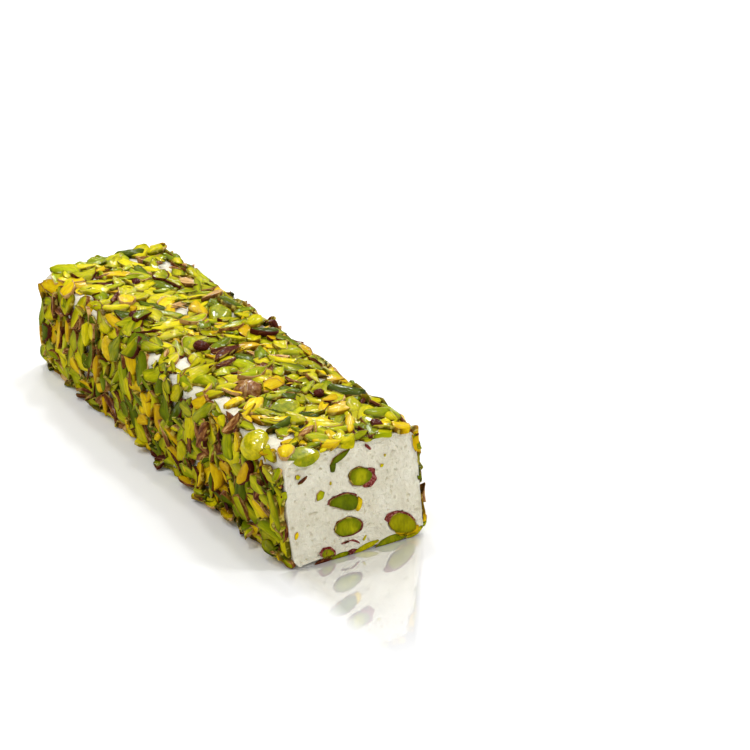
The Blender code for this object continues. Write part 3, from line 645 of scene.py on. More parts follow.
def lay_rows(coat, distance, rows, thicknesses):
    """The slivers of a table, each at the place that it gives."""
    slivers = []
    for (across, y, turn, length, width, kind), thickness in zip(rows, thicknesses):
        size = (length / 1000, width / 1000, thickness)
        look = (kind.rstrip("+"), kind.count("+"))
        slivers.append(coat.lay(distance(across), y / 1000, -math.radians(turn), *size, *look))
    return slivers


def lay_loose_slivers(coat, rng, kinds_rng):
    """Slivers that fell where they liked, the longest first."""
    slivers = []
    for length in np.sort(rng.uniform(*SLIVER_LENGTH, LOOSE_SLIVERS))[::-1]:
        width = rng.uniform(*SLIVER_WIDTH)
        thickness = rng.uniform(*SLIVER_THICKNESS)
        around, along = barest_place(coat, rng, width)
        heading = rng.uniform(0.0, math.pi)
        if over_an_edge(around):
            heading = rng.normal(0.0, ALONG_EDGE)
        slivers.append(coat.lay(around, along, heading, length, width, thickness, *kind_at(around, kinds_rng)))
    return slivers


def bare_spots():
    """Distance round, place along and radius of every patch where the nougat shows."""
    spots = [(on_top(x), y / 1000, radius / 1000) for x, y, radius in BARE_PATCHES + TOP_PATCHES]
    return spots + [(on_left(z), y / 1000, radius / 1000) for z, y, radius in LEFT_PATCHES]


def kept_spots():
    """Places that the filling slivers leave uncovered, and their radii: the bare patches and the kernels."""
    around, along, radii = np.array(bare_spots()).T
    places = np.concatenate([surface(around, along)[0], [kernel.middle for kernel in COAT_KERNELS]])
    return places, np.concatenate([radii, [kernel.size[1] for kernel in COAT_KERNELS]])


SPOTS, SPOT_RADII = kept_spots()


def keeps_clear(around, along, heading, length, width, spots, radii):
    """Whether a sliver laid there leaves these spots uncovered."""
    middle, normal = surface(np.array(around), np.array(along))
    lengthwise = np.array([0.0, math.cos(heading), 0.0]) + math.sin(heading) * np.cross(normal, [0.0, 1.0, 0.0])
    crosswise = np.cross(normal, lengthwise)
    offsets = spots - middle
    far, wide = length / 2 + CLEARANCE * radii, width / 2 + CLEARANCE * radii
    over = (offsets @ lengthwise / far) ** 2 + (offsets @ crosswise / wide) ** 2 < 1
    return not (over & (np.abs(offsets @ normal) < SAME_SIDE)).any()


def lay_fill(coat, rng, kinds_rng, fill, placed):
    """Slivers laid into what the others leave bare, the longest first."""
    spots = np.concatenate([SPOTS, [sliver.top for sliver in placed]])
    radii = np.concatenate([SPOT_RADII, [KEPT_SHARE * sliver.width for sliver in placed]])
    slivers = []
    for length in np.sort(rng.uniform(*fill.lengths, fill.count))[::-1]:
        width = rng.uniform(*fill.widths)
        thickness = rng.uniform(*fill.thicknesses)
        places = []
        while len(places) < FILL_TRIES:
            around = rng.uniform(UNDERSIDE + BEND / 3, ROUND - UNDERSIDE - BEND / 3)
            heading = rng.uniform(0.0, math.pi)
            if over_an_edge(around):
                heading = rng.normal(0.0, ALONG_EDGE)
            elif abs(around - TOP_MIDDLE) > WIDTH / 2 and rng.random() < HANGING:
                heading = rng.normal(*HANG)
            reach = (LENGTH - length * abs(math.cos(heading))) / 2
            along = rng.uniform(-reach, reach)
            if keeps_clear(around, along, heading, length, width, spots, radii):
                places.append((coat.thickness(around, along, LOOKED_AT * width), around, along, heading))
        _, around, along, heading = min(places)
        if abs(around - TOP_MIDDLE) > WIDTH / 2:
            thickness *= SIDE_THICKER
        kind = kind_at(around, kinds_rng)
        sliver = coat.lay(around, along, heading, length, width, thickness, *kind, support=fill.support)
        steep = 1 - abs(sliver.facing[2])
        slivers.append(tipped(sliver, rng, fill.tilt * (1 + (SIDE_TILT - 1) * steep)))
    return slivers


def tipped(sliver, rng, tilt):
    """The sliver, tipped a little out of its bed about both its ways."""
    along, across = rng.normal(0.0, tilt, 2)
    if rng.random() < RAGGED and abs(sliver.facing[0]) > SIDEWAYS and sliver.top[2] < RAGGED_BELOW:
        along += rng.choice((-1, 1)) * rng.uniform(*RAGGED_TILT)
    facing = unit(sliver.facing + TILT_ALONG * along * sliver.lengthwise + across * sliver.crosswise)
    lengthwise = unit(sliver.lengthwise - (sliver.lengthwise @ facing) * facing)
    tips = TILT_ALONG * abs(along) * sliver.length + abs(across) * sliver.width
    top = sliver.top + TILT_RISE * tips * sliver.facing
    return sliver._replace(top=top, facing=facing, lengthwise=lengthwise, crosswise=np.cross(facing, lengthwise))


def raised(sliver, proud):
    """The sliver, raised to stand this proud and made thicker by as much."""
    return sliver._replace(top=sliver.top + proud * sliver.facing, thickness=sliver.thickness + proud)


def uncovering(sliver):
    """The sliver, moved off the kernels and the bare patches."""
    top = sliver.top
    for place, radius in zip(SPOTS, SPOT_RADII / 2):
        if radius < LEAST_CLEARED:
            continue
        offset = top - place
        offset = offset - (offset @ sliver.facing) * sliver.facing
        away = np.linalg.norm(offset)
        room = radius + ROOM * sliver.width
        if np.linalg.norm(top - place) < NEAR_PATCH and away < room:
            top = top + (room - away) * offset / away
    return sliver._replace(top=top)


def peel(sliver):
    """A sliver that is all skin, as the narrow strip that it shrivelled to."""
    size = {"length": PEEL[0] * sliver.length, "width": PEEL[1] * sliver.width, "thickness": PEEL[2]}
    return sliver._replace(**size) if sliver.kind == "skin" else sliver


def lay_under(rng, kinds_rng):
    """Slivers on the underside, pressed flat between the nougat and the tray."""
    slivers = []
    for _ in range(UNDER_SLIVERS):
        x = rng.uniform(*UNDER_X)
        y = rng.uniform(-LENGTH / 2 + UNDER_ENDS[0], LENGTH / 2 - UNDER_ENDS[1])
        kind = str(kinds_rng.choice(KINDS, p=SIDE_SHARES))
        length, width, turn = rng.uniform(*SLIVER_LENGTH), rng.uniform(*SLIVER_WIDTH), rng.uniform(0, math.pi)
        size = (length, width, rng.uniform(*UNDER_THICKNESS))
        lengthwise, facing = np.array([math.cos(turn), math.sin(turn), 0.0]), np.array([0.0, 0.0, -1.0])
        top = np.array([x, y, rng.uniform(*UNDER_GAP)])
        slivers.append(Sliver(top, lengthwise, np.cross(facing, lengthwise), facing, *size, kind, 0))
    return slivers


def lay_fringe(rng, kinds_rng):
    """Slivers that stick out of the sides just above the tray."""
    slivers = []
    for _ in range(FRINGE):
        side = rng.choice((-1, 1))
        size = [rng.uniform(*limits) for limits in (FRINGE_LENGTH, FRINGE_WIDTH, FRINGE_THICKNESS)]
        turn, dip = rng.uniform(*FRINGE_TURN), rng.uniform(*FRINGE_DIP)
        lengthwise = unit(np.array([side * math.cos(turn), rng.choice((-1, 1)) * math.sin(turn), dip]))
        outward, along = (rng.uniform(*limits) for limits in FRINGE_FACING)
        facing = unit(np.array([side * outward, along, 1.0]))
        facing = unit(facing - (facing @ lengthwise) * lengthwise)
        y = rng.uniform(-LENGTH / 2 + FRINGE_ENDS, LENGTH / 2 - FRINGE_ENDS)
        top = np.array([side * rng.uniform(*FRINGE_X), y, rng.uniform(*FRINGE_Z)])
        look = (str(kinds_rng.choice(KINDS, p=SIDE_SHARES)), int(rng.random() < 0.5))
        slivers.append(Sliver(top, lengthwise, np.cross(facing, lengthwise), facing, *size, *look))
    return slivers


def lay_coat(rng, kinds_rng):
    """All the slivers of the coat."""
    coat = Coat()
    thicknesses = (rng.uniform(*SLIVER_THICKNESS) for _ in TOP_SLIVERS + LEFT_SLIVERS)
    placed = lay_rows(coat, on_top, TOP_SLIVERS, thicknesses)
    placed += lay_rows(coat, on_left, LEFT_SLIVERS, thicknesses)
    loose = lay_loose_slivers(coat, rng, kinds_rng)
    slivers = [uncovering(raised(sliver, PROUD)) for sliver in placed] + [uncovering(peel(sliver)) for sliver in loose]
    for fill in FILLS:
        slivers += [peel(sliver) for sliver in lay_fill(coat, rng, kinds_rng, fill, placed)]
    for distance, rows, thickness in zip((on_top, on_left), (LAST_ON_TOP, LAST_ON_LEFT), LAST_THICKNESS):
        slivers += [raised(last, LAST_PROUD) for last in lay_rows(coat, distance, rows, [thickness] * len(rows))]
    slivers += lay_under(rng, kinds_rng)
    return slivers + [peel(sliver) for sliver in lay_fringe(rng, kinds_rng)]


# The fine shapes


def rounded(corners, rounds):
    """The closed outline with its corners cut off a few times over."""
    for cut in CORNERS_CUT[:rounds]:
        following = np.roll(corners, -1, axis=0)
        corners = np.stack([(1 - cut) * corners + cut * following, cut * corners + (1 - cut) * following], axis=1)
        corners = corners.reshape(-1, 2)
    return corners


def sliver_outline(sliver, rng):
    """Rows of lengthwise and crosswise place, from -1 to 1, round a sliver as it was cut."""
    plain = sliver.length <= PLAIN_LENGTH
    _, uneven, corners = CUTS[rng.choice(len(CUTS), p=[row[0] for row in CUTS])]
    corners = np.array(table(corners))
    corners = corners + rng.normal(0.0, uneven * (PLAINER if plain else 1.0), corners.shape)
    outline = rounded(corners * (rng.choice((-1, 1)), 1), 1 if plain else 2)
    low, high = outline.min(axis=0), outline.max(axis=0)
    outline = (outline - (high + low) / 2) / ((high - low) / 2)
    outline = outline * (1 + rng.normal(0.0, NICKS, (len(outline), 1)))
    outline[:, 1] += rng.normal(0.0, BENT) * (outline[:, 0] ** 2 - 0.4)
    return outline if rng.random() < 0.5 else outline[::-1] * (1, -1)


def wound(outline):
    """The outline, run the way round that faces up."""
    u, v = outline.T
    area = (u * np.roll(v, -1) - v * np.roll(u, -1)).sum()
    return outline if area > 0 else outline[::-1]


def sliver_mesh(sliver, rng):
    """Corners, triangles and looks of one sliver: how near the rim, how much skin, and the place in its grain."""
    outline = wound(sliver_outline(sliver, rng))
    spine = outline * SPINE
    arch = rng.normal(0.0, ARCHED) * sliver.length
    curl = rng.normal(0.0, CURLED if sliver.thickness > THIN else THIN_CURLED) * sliver.width
    twist = rng.normal(0.0, TWISTED) * sliver.width
    domed = rng.random() < (SKINS_DOMED if sliver.kind == "skin" else DOMED_SHARE)
    crown = rng.uniform(*(DOME if domed else NO_DOME)) * sliver.width
    phases = rng.uniform(0, 2 * math.pi, 3)
    middle = spine.mean(axis=0, keepdims=True)
    flat = np.concatenate([outline * (1 - row[0]) + spine * row[0] for row in RINGS_OF_SLIVER] + [middle, middle])
    _, heights, crowns, rims = np.array(RINGS_OF_SLIVER).T
    height = np.repeat(heights * sliver.thickness + crowns * crown, len(outline))
    height = np.append(height, (crown, -sliver.thickness))
    rim = np.append(np.repeat(rims, len(outline)), (0.0, rims[0]))
    u, v = flat.T
    ripple = np.sin(5.1 * u + phases[0]) * np.sin(3.7 * v + phases[1]) + 0.5 * np.sin(9 * u + phases[2])
    height = height + arch * (0.4 - u**2) + curl * (0.3 - v**2) + twist * u * v + RIPPLED * sliver.width * ripple
    if sliver.kind == "skin":
        skin = 1 - 0.6 * np.minimum(rim, 1)
    else:
        side, limit = rng.choice((-1, 1)), rng.uniform(*RIM_SIDE)
        edged = (v * side > limit) | (sliver.rimmed == ALL_ROUND)
        skin = smooth_step(rim, *RIM_SKIN) * edged * (sliver.rimmed > 0)
    corners = sliver.top + np.outer(u * sliver.length / 2, sliver.lengthwise)
    corners = corners + np.outer(v * sliver.width / 2, sliver.crosswise) + np.outer(height, sliver.facing)
    grain = np.stack([u * sliver.length / 8, v * sliver.width / 2, height], axis=1) + rng.uniform(0, 1, 3)
    return corners, ring_faces(len(outline), len(RINGS_OF_SLIVER)), rim, skin, grain


def ring_faces(count, rings):
    """Triangles over rings of points from an underside to a crown. Last come the crown's tip and the other."""
    here = np.arange(count)
    there = (here + 1) % count
    faces = []
    for ring in range(rings - 1):
        low, high = ring * count, (ring + 1) * count
        faces.append(np.stack([low + here, low + there, high + there], axis=1))
        faces.append(np.stack([low + here, high + there, high + here], axis=1))
    last, tip = (rings - 1) * count, rings * count
    faces.append(np.stack([last + here, last + there, np.full(count, tip)], axis=1))
    faces.append(np.stack([there, here, np.full(count, tip + 1)], axis=1))
    return np.concatenate(faces)


def cut_planes(points):
    """How far each point lies outside the front and the back cut."""
    rise = points[:, 2] / HEIGHT
    front = -LENGTH / 2 + FRONT_SLANT * rise - points[:, 1]
    back = points[:, 1] - LENGTH / 2 - BACK_SLANT * rise
    return front, back


def trimmed(points, spare, margin=BOX_MARGIN):
    """The points, with those more than spare past a knife cut brought back to it, and which of them those are."""
    points = points.copy()
    front, back = cut_planes(points)
    over = np.maximum(front - spare, 0) - np.maximum(back - spare, 0)
    points[:, 1] += over
    return np.clip(points, np.array(CAD_BOX[0]) + margin, np.array(CAD_BOX[1]) - margin), over != 0


def lifted(points):
    """The points, moved up where an end that sticks out of a side would go into the tray."""
    out = abs(points[:, 0]) > STICKS_OUT
    return points + [0.0, 0.0, max(0.0, BOX_MARGIN - points[out, 2].min(initial=1.0))]


def drawn_in(sliver, spare):
    """The sliver, moved in from a knife cut that it would pass by more than spare, and from the box's sides."""
    half = np.sqrt((sliver.lengthwise * sliver.length / 2) ** 2 + (sliver.crosswise * sliver.width / 2) ** 2)
    half = half + np.abs(sliver.facing) * 0.1 * sliver.width
    top = sliver.top.copy()
    front, back = cut_planes(top[None])
    inward = max(front[0] + half[1] - spare, 0) - max(back[0] + half[1] - spare, 0)
    top[1] += np.clip(inward, -DRAWN_IN, DRAWN_IN)
    low, high = (np.array(corner) for corner in CAD_BOX)
    for axis in (0, 2):
        top[axis] -= max(top[axis] + half[axis] + BOX_MARGIN - high[axis], 0)
    top[0] += max(low[0] + half[0] + BOX_MARGIN - top[0], 0)
    return sliver._replace(top=top)


def joined_slivers(name, slivers, bits, rng):
    """One object that holds all of these slivers, and the bits, whose meshes are ready."""
    meshes = list(bits)
    for sliver in slivers:
        upper = sliver.facing[2] > SIDEWAYS and sliver.top[2] > UPPER
        spare = rng.uniform(SPARE_UNDER, OVERHANG if upper else SPARE_OVER)
        points, triangles, rim, skin, grain = sliver_mesh(drawn_in(sliver, spare), rng)
        points, cut = trimmed(lifted(points), CUT_SHARE * abs(spare), BOX_MARGIN + rng.uniform(0.0, MARGINS))
        rim = np.where(cut, 0.0, rim)
        # painted shade: slivers that face sideways get a darker tone
        tone = rng.random() * (1 - SIDE_PAINTED_SHADE * (1 - abs(sliver.facing[2])))
        # painted light: slivers towards the far end get a lighter tone
        tone += FAR_PAINTED_LIGHT * max(0.0, sliver.top[1]) / (LENGTH / 2)
        meshes.append((points, triangles, rim, skin, grain, np.full(len(points), tone)))
    starts = np.cumsum([0] + [len(mesh[0]) for mesh in meshes])
    meshes = [(points, faces + start, *looks) for (points, faces, *looks), start in zip(meshes, starts)]
    return piece_from(name, *(np.concatenate(column) for column in zip(*meshes)))


def piece_from(name, corners, faces, *looks):
    """An object with its looks stored for each corner."""
    obj = object_from(name, corners, faces)
    for look, values in zip(("rim", "skin", "grain", "tone"), looks):
        set_look(obj, look, values)
    return obj


def object_from(name, corners, faces):
    mesh = bpy.data.meshes.new(name)
    mesh.from_pydata(corners.tolist(), [], faces.tolist())
    mesh.validate()
    mesh.shade_smooth()
    mesh.set_sharp_from_angle(angle=math.radians(38))
    obj = bpy.data.objects.new(name, mesh)
    bpy.context.scene.collection.objects.link(obj)
    return obj


def set_look(obj, name, values):
    """Stores one number, or one vector, for each corner of the mesh."""
    vector = values.ndim == 2
    attribute = obj.data.attributes.new(name, "FLOAT_VECTOR" if vector else "FLOAT", "POINT")
    attribute.data.foreach_set("vector" if vector else "value", values.astype(np.float32).ravel())


def fractal(points, scale, seed, octaves=3):
    """Noise from about -1 to 1 at each point, with features 1 / scale metres across."""
    shift = Vector((seed * 13.7, seed * 5.1, seed * 9.3))
    return np.array([noise.fractal(Vector(point) * scale + shift, 0.8, 2.0, octaves) for point in points])


def reach_in_outline(x, z, corners):
    """How far out of an outline's middle each point lies, with 1 on the outline."""
    outline = rounded(np.array(table(corners)) / 1000, 3)
    middle = outline.mean(axis=0)
    arms = outline - middle
    angles = np.arctan2(arms[:, 1], arms[:, 0])
    order = np.argsort(angles)
    radius = np.hypot(*arms.T)[order]
    here = np.arctan2(z - middle[1], x - middle[0])
    return np.hypot(x - middle[0], z - middle[1]) / np.interp(here, angles[order], radius, period=2 * math.pi)


def smooth_step(values, low, high):
    share = np.clip((values - low) / (high - low), 0, 1)
    return share * share * (3 - 2 * share)


def cut_face(edge, side, outlines, seed):
    """Rings of points over one knife cut, from its edge inwards, torn and pitted, with a dimple at each kernel."""
    middle = edge.mean(axis=0)
    shares = 1 - (np.arange(1, CUT_RINGS + 1) / (CUT_RINGS + 0.5))
    points = (middle + (edge - middle)[None] * shares[:, None, None]).reshape(-1, 3)
    depth = CUT_LEVEL
    for number, (scale, octaves, amount, flatter, limits) in enumerate(CUT_WAVES):
        waves = fractal(points * (1.0, 1.0, flatter), scale, seed + number, octaves)
        depth = depth + amount * (smooth_step(waves, *limits) if limits else waves)
    for corners in outlines:
        reach = reach_in_outline(points[:, 0], points[:, 2], corners)
        lip = LIP * np.exp(-(((reach - LIP_PLACE) / LIP_WIDTH) ** 2))
        depth += DIMPLE * (1 - smooth_step(reach, *DIMPLE_EDGE)) - lip
    settle = smooth_step(np.repeat(1 - shares, len(edge)), 0.0, CUT_SETTLES)
    points[:, 1] -= side * np.maximum(depth, LEAST_DEPTH) * settle
    return points


def swell_of_bare(points, around, along):
    """How far the nougat swells up at points of one ring of it, where it is bare."""
    rise = np.zeros(len(points))
    for place, y, radius in bare_spots():
        away = np.hypot(around - place, along - y) / radius
        rise = np.maximum(rise, BARE_RISE * (1 - smooth_step(away, *BARE_FADE)))
    for kernel in COAT_KERNELS:
        away = np.linalg.norm(points - np.array(kernel.middle), axis=1)
        rise = rise * smooth_step(away, *(share * kernel.size[0] for share in KERNEL_FADE))
    least, spread, scale = BARE_WAVES
    return rise * (least + spread * fractal(points, scale, 17, 2))


def nougat_ring(step):
    """Points round the nougat at one of the steps along it."""
    around = np.arange(ROUND_STEPS) * ROUND / ROUND_STEPS
    along = (step / LONG_STEPS - 0.5) * LENGTH
    points, outward = surface(around, np.full(ROUND_STEPS, along))
    front, back = cut_planes(points)
    points[:, 1] += np.where(step * 2 < LONG_STEPS, front, -back) * abs(2 * step / LONG_STEPS - 1) ** ENDS_FOLLOW
    least, spread, scale = SIDE_DENTS
    points -= outward * np.maximum(least + spread * fractal(points, scale, 3, 3), 0)[:, None]
    points += outward * swell_of_bare(points, around, along)[:, None]
    raised_to = UNDER_RAISE * smooth_step(points[:, 0], *UNDER_EDGE)
    border = np.interp(points[:, 0], np.array(BORDER_X) / 1000, np.array(BORDER_Z) / 1000)
    raised_to = np.maximum(raised_to, border * (1 - smooth_step(along + LENGTH / 2, 0.0, BORDER_REACH)))
    height, scale = BORDER_WAVES
    points[:, 2] = np.maximum(points[:, 2], raised_to + height * fractal(points, scale, 5, 2) * (raised_to > 0))
    return points


def nougat():
    """The whipped nougat: a fine loft along the roll, and both cuts."""
    sides = [nougat_ring(step) for step in range(LONG_STEPS + 1)]
    front = cut_face(sides[0], -1, [row for name, row in CUT_OUTLINES.items() if "front" in name], 11)
    back = cut_face(sides[-1], 1, [row for name, row in CUT_OUTLINES.items() if "back" in name], 23)
    tips = [cut[-ROUND_STEPS:].mean(0)[None] for cut in (front, back)]
    corners = np.concatenate([*sides, front, back, *tips])
    rings = np.arange(len(corners) - 2).reshape(-1, ROUND_STEPS)
    side_rings, front_rings, back_rings = np.split(rings, (LONG_STEPS + 1, LONG_STEPS + 1 + CUT_RINGS))
    chain = [*front_rings[::-1], *side_rings, *back_rings]
    faces = []
    for low, high in zip(chain, chain[1:]):
        faces.append(np.stack([low, np.roll(low, -1), np.roll(high, -1)], axis=1))
        faces.append(np.stack([low, np.roll(high, -1), high], axis=1))
    front_tip, back_tip = (np.full(ROUND_STEPS, len(corners) - place) for place in (2, 1))
    faces.append(np.stack([np.roll(chain[0], -1), chain[0], front_tip], axis=1))
    faces.append(np.stack([chain[-1], np.roll(chain[-1], -1), back_tip], axis=1))
    return object_from("nougat", trimmed(corners, 0.0)[0], np.concatenate(faces))


def inlay(corners, side, deep, far, dome, flat_skin):
    """Mesh and looks of something that the knife went through, from its deep end to the middle of its cut."""
    outline = wound(rounded(np.array(table(corners)) / 1000, 3))[::-side]
    middle = outline.mean(axis=0)
    rings, looks = [], []
    for turn in np.radians(BOWL_TURNS):
        rings.append(middle + (far - middle) * math.cos(turn) + (outline - middle) * math.sin(turn))
        looks.append((-deep * math.cos(turn), 1.0, 1.0 if turn < 1.5 else EDGE_SKIN))
    for inset, share in CUT_RINGS_IN:
        rings.append(middle + (outline - middle) * (1 - inset))
        looks.append((dome * share, 0.3 + 0.7 * (1 - inset) ** 5, 0.25 * (inset < 0.05)))
    flat = np.concatenate(rings + [middle[None], far[None]])
    looks = np.repeat(np.array(looks), len(outline), axis=0)
    tips = ((dome * CUT_RINGS_IN[-1][1], 0.0, 0.0), (-deep, 1.0, 1.0))
    rise, rim, skin = np.concatenate([looks, tips]).T
    up = flat[:, 1] / HEIGHT
    slant = -LENGTH / 2 + FRONT_SLANT * up if side < 0 else LENGTH / 2 + BACK_SLANT * up
    points = np.stack([flat[:, 0], slant + side * rise, flat[:, 1]], axis=1)
    height, scale = CUT_UNEVEN
    points[:, 1] += side * height * fractal(points, scale, 9 + deep * 1000, 2) * (rise > 0)
    faces = ring_faces(len(outline), len(rings))
    return points, faces, rim, np.maximum(skin, flat_skin), points * (1.0, 1.0, 0.4)


def cut_kernel(name):
    """A kernel that the knife cut through."""
    low, high = (np.array(corner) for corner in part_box(name))
    side = -1 if "front" in name else 1
    far = (low + high)[[0, 2]] / 2
    depth = BOWL_DEPTH * (high[1] - low[1])
    points, *looks = inlay(CUT_OUTLINES[name], side, depth, far, KERNEL_DOME, TORN_SKIN.get(name, 0.0))
    tone = np.full(len(points), CUT_TONES.get(name, PLAIN_TONE))
    return piece_from(f"{name}_fine", trimmed(points, KERNEL_DOME)[0], *looks, tone)


def ball(sides, rows):
    """Points of a ball of radius 1, in rings round the X axis, then its two poles."""
    around = np.linspace(0, 2 * math.pi, sides, endpoint=False)
    down = np.linspace(0, math.pi, rows)[1:-1]
    points = [(-math.cos(d), math.sin(d) * math.cos(a), math.sin(d) * math.sin(a)) for d in down for a in around]
    return np.array([*points, (1.0, 0.0, 0.0), (-1.0, 0.0, 0.0)]), ring_faces(sides, rows - 2)


def lump(middle, size, turn, kind, wrinkled, rng, flats=()):
    """Mesh and looks of a whole kernel or a wrinkled bead: an uneven ball with narrower ends and flats rubbed on it.
    """
    local, faces = ball(*KERNEL_POINTS)
    taper = 1 - POINTED * local[:, 0] ** 2
    rough = fractal(local, ROUGH_SCALE, rng.uniform(0, 60), 3)
    folds = fractal(local * (0.5, 1, 1), FOLD_SCALE, rng.uniform(0, 60), 3)
    local = local * np.stack([np.ones_like(taper), taper, taper], axis=1)
    local = local * (ROUGH[0] + ROUGH[1] * rough + wrinkled * folds)[:, None]
    half, turn = np.array(size) / 2, np.array(turn)
    flats = [(half * (np.array(facing) @ turn), share) for *facing, share in flats]
    flats += [(rng.normal(size=3) * (0.4, 1, 1), rng.uniform(*FLAT_REACH)) for _ in range(FLATS - len(flats))]
    for facing, share in flats:
        facing = unit(facing)
        limit = share * (local @ facing).max()
        local = local - np.outer(FLATNESS * np.maximum(local @ facing - limit, 0), facing)
    rim = smooth_step(folds, -0.1, -0.5) * (1.0 if wrinkled >= SKIN_WRINKLES else 0.3)
    local = local * half
    points = local @ turn.T + np.array(middle)
    return points, faces, rim, np.full(len(points), KERNEL_SKIN if kind == "skin" else 0.0), local


def seam_reach(points, middle, seam):
    """How far each point that faces the camera lies from a seam, as the camera sees both."""
    offsets = points - np.array(middle)
    seen = np.stack([offsets @ CAMERA_RIGHT, offsets @ CAMERA_TOP], axis=1)
    reach = np.full(len(points), 1.0)
    seam = np.array(table(seam)) / 1000
    for start, end in zip(seam, seam[1:]):
        share = np.clip((seen - start) @ (end - start) / ((end - start) @ (end - start)), 0, 1)
        reach = np.minimum(reach, np.linalg.norm(seen - start - share[:, None] * (end - start), axis=1))
    return np.where(offsets @ CAMERA_BACK > 0, reach, 1.0)


def whole_kernel(name, kernel, rng):
    """A kernel that lies in the coat."""
    turn = Euler([math.radians(angle) for angle in kernel.rotation]).to_matrix()
    wrinkled = SKIN_WRINKLES if kernel.kind == "skin" else PLAIN_WRINKLES
    flats = KERNEL_FLATS.get(name, ())
    points, faces, rim, skin, grain = lump(kernel.middle, kernel.size, turn, kernel.kind, wrinkled, rng, flats)
    tone = np.full(len(points), rng.uniform(*KERNEL_TONES))
    if name in HIGHLIGHT_SEAMS:
        rise, seam = HIGHLIGHT_SEAMS[name]
        near = np.exp(-((seam_reach(points, kernel.middle, seam) / HIGHLIGHT_SEAM_WIDTH) ** 2))
        outward = points - np.array(kernel.middle)
        points = points + (near * rise / 1000 / np.linalg.norm(outward, axis=1))[:, None] * outward
        # painted highlight: the tone is raised along the seam so that it shows pale
        tone = tone + near
        skin = skin * (1 - near)
    return piece_from(f"{name}_fine", trimmed(points, KERNEL_PROUD)[0], faces, rim, skin, grain, tone)


def beads(rng):
    """The meshes and looks of the dark, wrinkled bits on the top."""
    for x, y, length in BEADS:
        middle = surface(np.array(on_top(x)), np.array(y / 1000))[0] + (0, 0, BEAD_RAISE)
        tilt = [rng.uniform(-most, most) for most in BEAD_TILT]
        turn = Euler((*tilt, rng.uniform(0, math.pi))).to_matrix()
        size = length * np.array(BEAD_SHAPE) / 1000
        points, *looks = lump(middle, size, turn, "skin", BEAD_WRINKLES, rng)
        yield trimmed(points, 0.0)[0], *looks, np.full(len(points), 0.0)


def bits_in_cuts(kind):
    """The meshes and looks of the bits of this kind in both cuts."""
    rows = [(-1, *row) for row in FRONT_BITS] + [(1, *row) for row in BACK_BITS]
    for side, bit_kind, tone, rise, corners in rows:
        if bit_kind == kind:
            middle = np.array(table(corners)).mean(axis=0) / 1000
            points, *looks = inlay(corners, side, BIT_DEPTH, middle, rise / 1000, BIT_SKIN * (kind == "skin"))
            yield trimmed(points, rise / 1000)[0], *looks, np.full(len(points), tone)


# Finishes


def linear(colour):
    """A photo colour, 0 to 255, as the linear colour that a shader takes."""
    shares = np.array(colour) / 255
    return (*np.where(shares <= 0.04045, shares / 12.92, ((shares + 0.055) / 1.055) ** 2.4), 1.0)


class Nodes:
    """Short ways to add nodes to a tree of them."""

    def __init__(self, tree):
        self.tree = tree

    def node(self, kind, **settings):
        node = self.tree.nodes.new(kind)
        for name, value in settings.items():
            setattr(node, name, value)
        return node

    def put(self, value, socket):
        """Links an output to a socket, or sets the socket's own value."""
        if isinstance(value, bpy.types.NodeSocket):
            self.tree.links.new(value, socket)
        else:
            socket.default_value = value

    def attribute(self, name, output="Fac"):
        return self.node("ShaderNodeAttribute", attribute_name=name).outputs[output]

    def noise(self, where, scale, detail=2.0, rough=0.5):
        node = self.node("ShaderNodeTexNoise")
        self.put(where, node.inputs["Vector"])
        node.inputs["Scale"].default_value = scale
        node.inputs["Detail"].default_value = detail
        node.inputs["Roughness"].default_value = rough
        return node.outputs["Fac"]

    def sum(self, operation, first, second, clamp=False):
        node = self.node("ShaderNodeMath", operation=operation, use_clamp=clamp)
        self.put(first, node.inputs[0])
        self.put(second, node.inputs[1])
        return node.outputs[0]

    def spread(self, value, low, high, to_low=0.0, to_high=1.0):
        node = self.node("ShaderNodeMapRange", clamp=True)
        for number, item in enumerate((value, low, high, to_low, to_high)):
            self.put(item, node.inputs[number])
        return node.outputs[0]

    def ramp(self, share, colours):
        node = self.node("ShaderNodeValToRGB")
        steps = node.color_ramp.elements
        while len(steps) < len(colours):
            steps.new(0.5)
        for number, colour in enumerate(colours):
            steps[number].position = number / (len(colours) - 1)
            steps[number].color = linear(colour)
        self.put(share, node.inputs[0])
        return node.outputs[0]

    def mix(self, share, first, second):
        node = self.node("ShaderNodeMix", data_type="RGBA")
        self.put(share, node.inputs[0])
        self.put(first, node.inputs[6])
        self.put(second, node.inputs[7])
        return node.outputs[2]

    def bump(self, height, distance, strength=1.0, under=None):
        node = self.node("ShaderNodeBump")
        node.inputs["Distance"].default_value = distance
        node.inputs["Strength"].default_value = strength
        self.put(height, node.inputs["Height"])
        if under is not None:
            self.put(under, node.inputs["Normal"])
        return node.outputs[0]


class Finish(Nodes):
    """A material under construction."""

    def __init__(self, name):
        self.material = bpy.data.materials.new(name)
        self.material.use_nodes = True
        super().__init__(self.material.node_tree)
        self.shader = self.tree.nodes["Principled BSDF"]

    def sets(self, **values):
        """Sets the shader's sockets, named with _ for a space."""
        for name, value in values.items():
            self.put(value, self.shader.inputs[name.replace("_", " ")])


